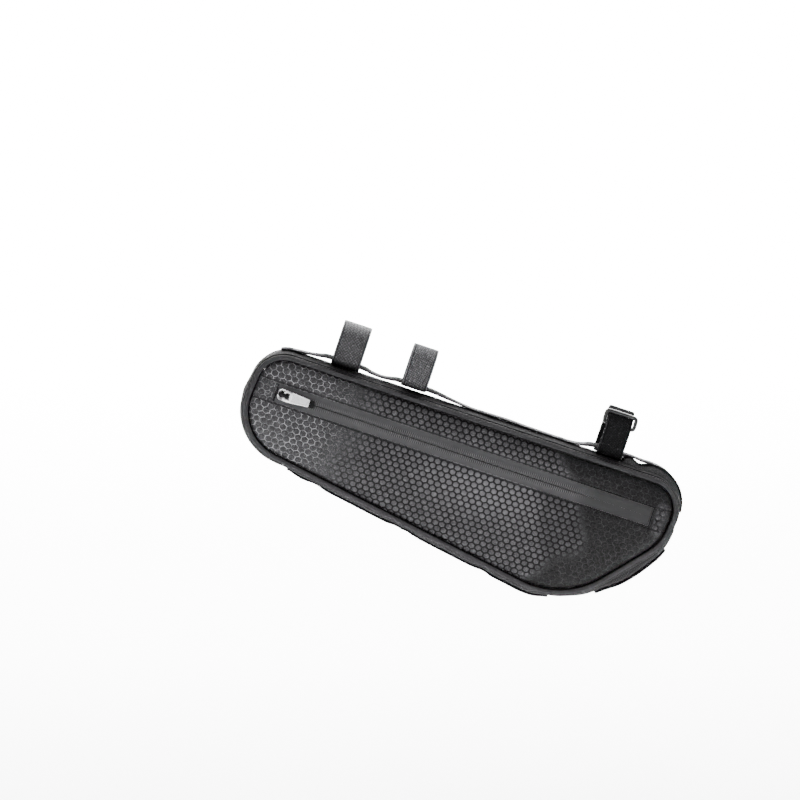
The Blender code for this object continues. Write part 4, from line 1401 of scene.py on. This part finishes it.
def make_moulded(name, color, roughness, gloss):
    material, tree, shader = new_material(name, color, roughness, specular=gloss)
    flat = sloping_places(tree)[0]
    scuffs = steps_between(tree, clouds(tree, flat, 300.0, 4.0), 0.52, 0.75)
    colour = mixed(tree, scuffs, opaque(color), opaque(color, 2.2))
    colour_and_roughness(tree, shader, colour, maths(tree, "MULTIPLY_ADD", scuffs, 0.2, roughness))
    bump(tree, shader, clouds(tree, flat, 1800.0, 2.0), 0.04 * MM)
    return material


RUBBER = make_moulded("moulded rubber", grey(0.003), 0.6, 0.06)
PLASTIC = make_moulded("moulded plastic", grey(0.008), 0.3, 0.3)
print("made the metal, rubber and plastic")


# %% The slider
def make_slider():
    """A rounded plate that runs on the tape, with a bridge over it that holds the pull."""
    top, under = -1.6 * MM, 1.6 * MM
    plate = add_block("slider_body", (-5.4 * MM, under, -4.7 * MM), (5.4 * MM, under + 1.6 * MM, 4.7 * MM))
    choose(plate, "EDGE", lambda spot, along: abs(along.y) > 0.9)
    round_off(2.9 * MM, 6)
    choose(plate, "FACE", lambda spot, normal: normal.y < -0.9)
    bpy.ops.mesh.inset(thickness=2.1 * MM, depth=0.0)
    bpy.ops.transform.translate(value=(0.0, 0.7 * MM, 0.0))
    bpy.ops.object.mode_set(mode="OBJECT")
    # The recessed middle of the plate takes the dark rubber, a painted shade under the bridge and the pull.
    plate.data.materials.append(POLISHED)
    plate.data.materials.append(RUBBER)
    for face in plate.data.polygons:
        face.material_index = int(face.select)
    add_bevel(plate, 0.22 * MM)
    apply_modifiers(plate)

    bridge = add_block("slider_bridge", (-4.2 * MM, top - 1.0 * MM, -1.7 * MM), (4.2 * MM, top, 1.7 * MM))
    leg = 3.2 * MM
    cut_at([-leg, leg], 0)
    choose(bridge, "FACE", lambda spot, normal: normal.y > 0.9 and abs(spot.x) > leg)
    bpy.ops.mesh.extrude_region_move(TRANSFORM_OT_translate={"value": (0.0, 3.4 * MM, 0.0)})
    choose(
        bridge, "EDGE",
        lambda spot, along: abs(along.z) > 0.9 and spot.y < top - 0.9 * MM and abs(spot.x) > 4.0 * MM,
    )
    round_off(1.4 * MM, 5)
    bpy.ops.object.mode_set(mode="OBJECT")
    add_bevel(bridge, 0.25 * MM)
    apply_modifiers(bridge)

    select_only(plate)
    bridge.select_set(True)
    bpy.ops.object.join()
    marks = [face.material_index for face in plate.data.polygons]
    plate.data.transform(Matrix.Translation(HINGE))
    into_world(plate)
    finish(plate, POLISHED, "bag", ("zip_slider",))
    return second_material(plate, RUBBER, marks)


def second_material(piece, material, marks):
    """Gives the marked faces of a finished piece its second material."""
    piece.data.materials.append(material)
    for face, mark in zip(piece.data.polygons, marks):
        face.material_index = mark
    return piece


make_slider()


# %% The pull
def make_pull():
    """A tapering tab with a window round the bridge, a polished rim and a blasted field."""
    wall, head, end = 0.7 * MM, 4.75 * MM, 3.2 * MM
    window_start, window_end, tab_end = 1.2 * MM, 4.6 * MM, 22.5 * MM
    pull = add_block("pull_tab", (-0.65 * MM, -wall, -head), (tab_end, wall, head))
    window_half, field_start = 2.7 * MM, window_end + 1.6 * MM
    cut_at([window_start, window_end, field_start], 0)
    cut_at([-window_half, window_half], 2)
    choose(pull, "EDGE", lambda spot, along: spot.x > tab_end - 0.1 * MM and abs(along.y) > 0.9)
    bpy.ops.transform.resize(value=(1.0, 1.0, end / head), center_override=(0.0, 0.0, 0.0))
    choose(
        pull, "EDGE",
        lambda spot, along: abs(along.y) > 0.9 and spot.x < 0.0 and abs(spot.z) > head - 0.1 * MM,
    )
    round_off(2.2 * MM, 5)
    choose(
        pull, "FACE",
        lambda spot, normal: abs(normal.y) > 0.9 and window_start < spot.x < window_end
        and abs(spot.z) < window_half,
    )
    bpy.ops.mesh.bridge_edge_loops()
    choose(pull, "FACE", lambda spot, normal: normal.y < -0.9 and spot.x > field_start)
    bpy.ops.mesh.inset(thickness=0.95 * MM, depth=0.0)
    bpy.ops.transform.translate(value=(0.0, 0.22 * MM, 0.0))
    bpy.ops.object.mode_set(mode="OBJECT")
    field = [face.index for face in pull.data.polygons if face.select]
    pull.data.materials.append(POLISHED)
    pull.data.materials.append(BLASTED)
    for index in field:
        pull.data.polygons[index].material_index = 1
    add_bevel(pull, 0.2 * MM, 2)
    apply_modifiers(pull)
    marks = [face.material_index for face in pull.data.polygons]
    place_on_hinge(pull)
    finish(pull, POLISHED, "zip_pull", ("zip_pull",))
    return second_material(pull, BLASTED, marks)


def place_on_hinge(piece):
    piece.data.transform(Matrix.Translation(HINGE) @ Matrix.Rotation(PULL_TILT, 4, "Z"))
    return into_world(piece)


def make_tip():
    """The moulded end of the tab, with two grooves round it."""
    tip = add_block("pull_end", (22.6 * MM, -1.2 * MM, -3.2 * MM), (27.0 * MM, 1.2 * MM, 3.2 * MM))
    choose(tip, "EDGE", lambda spot, along: abs(along.y) > 0.9 and spot.x > 26.0 * MM)
    round_off(1.5 * MM, 5)
    grooves = [(24.0 * MM, 24.5 * MM), (25.0 * MM, 25.5 * MM)]
    cut_at([place for groove in grooves for place in groove], 0)
    choose(
        tip, "FACE",
        lambda spot, normal: abs(normal.x) < 0.5 and any(low < spot.x < high for low, high in grooves),
    )
    bpy.ops.mesh.inset(thickness=0.06 * MM, depth=-0.15 * MM)
    bpy.ops.object.mode_set(mode="OBJECT")
    add_bevel(tip, 0.35 * MM, 3, 50.0)
    place_on_hinge(tip)
    return finish(tip, RUBBER, "zip_pull", ("zip_pull_tip",))


make_pull()
make_tip()


# %% The loop bar
def smooth_copy(node, name, levels, fatten):
    """A frame node's mesh, merged, fattened, turned to quads and subdivided, as a piece of its own."""
    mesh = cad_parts[node].data.copy()
    mesh.name = name
    piece = new_object(name, mesh)
    select_only(piece)
    bpy.ops.object.mode_set(mode="EDIT")
    bpy.ops.mesh.select_all(action="SELECT")
    bpy.ops.mesh.remove_doubles(threshold=MERGE)
    bpy.ops.transform.shrink_fatten(value=fatten)
    bpy.ops.mesh.tris_convert_to_quads()
    bpy.ops.object.mode_set(mode="OBJECT")
    subdivide_smooth(piece, levels)
    return piece


ring = smooth_copy("rear_strap_ring", "loop_bar", 2, 0.75 * MM)
print("loop bar:", [round(side / MM, 1) for side in ring.dimensions], "mm")
finish(ring, PLASTIC, "bag", ("rear_strap_ring",))

# %% [markdown]
# The stage is a pale floor that curves up into a wall, well below and behind the hanging bag, and it glows
# faintly. A soft key stands in front and above, a weaker fill to the right, and a strip along the top. Two
# washes behind the bag whiten the floor and the wall.


# %% The stage
FLOOR_Z = -0.45


def pale_material():
    material, _, shader = new_material("pale floor", (0.93, 0.93, 0.93), 0.9, specular=0.1)
    shader.inputs["Emission Color"].default_value = (1.0, 1.0, 1.0, 1.0)
    shader.inputs["Emission Strength"].default_value = 0.8
    return material


def make_floor():
    bpy.ops.object.select_all(action="DESELECT")
    bpy.ops.mesh.primitive_plane_add(size=1.0, location=(0.0, -1.0, FLOOR_Z))
    floor = bpy.context.object
    floor.name = "floor"
    floor.scale = (16.0, 9.0, 1.0)
    bpy.ops.object.transform_apply(location=True, rotation=True, scale=True)
    bpy.ops.object.mode_set(mode="EDIT")
    choose(floor, "EDGE", lambda spot, along: spot.y > 3.0)
    bpy.ops.mesh.extrude_region_move(TRANSFORM_OT_translate={"value": (0.0, 0.0, 6.0)})
    choose(floor, "EDGE", lambda spot, along: spot.y > 3.0 and spot.z < FLOOR_Z + 0.05)
    round_off(2.5, 24)
    bpy.ops.object.mode_set(mode="OBJECT")
    bpy.ops.object.shade_smooth()
    floor.data.materials.append(pale_material())


make_floor()


# %% The lights
def add_light(name, place, target, size, power):
    lamp = bpy.data.lights.new(name, "AREA")
    lamp.shape = "RECTANGLE"
    lamp.size, lamp.size_y = size
    lamp.energy = power
    light = new_object(name, lamp)
    light.location = place
    light.rotation_euler = (Vector(target) - Vector(place)).to_track_quat("-Z", "Y").to_euler()


MIDDLE = (0.04, 0.0, -0.08)
# name, place, target, size, power
LIGHTS = [
    ("key", (-0.5, -1.3, 1.5), MIDDLE, (0.9, 0.9), 50.0),
    ("fill", (1.6, -1.8, 0.2), MIDDLE, (1.2, 1.2), 9.0),
    ("top strip", (0.2, 0.25, 1.5), MIDDLE, (1.8, 0.4), 8.0),
    ("floor wash", (0.0, 1.6, 2.4), (0.0, 3.6, FLOOR_Z), (5.0, 2.0), 1500.0),
    ("wall wash", (0.0, 1.8, 1.4), (0.0, 5.0, 1.0), (4.0, 1.0), 300.0),
]
for row in LIGHTS:
    add_light(*row)

world = bpy.data.worlds.new("studio")
bpy.context.scene.world = world
world.use_nodes = True
background = world.node_tree.nodes["Background"]
background.inputs["Color"].default_value = (1.0, 1.0, 1.0, 1.0)
background.inputs["Strength"].default_value = 0.25
print("lights:", len(LIGHTS))

# %% [markdown]
# The camera stands a little higher than the bag, a little over two metres off, and looks five degrees down.

# %% The camera
camera = new_object("camera", bpy.data.cameras.new("camera"))
camera.location = (-0.0172, -2.1217, 0.1575)
camera.rotation_euler = (math.radians(85.0), 0.0, 0.0)
camera.data.sensor_width = 36.0
camera.data.lens = 111.2
camera.data.clip_end = 50.0
bpy.context.scene.camera = camera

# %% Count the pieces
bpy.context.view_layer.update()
shown = [thing for thing in bpy.data.objects if thing.type == "MESH" and not thing.hide_render]
print("pieces:", len(shown))
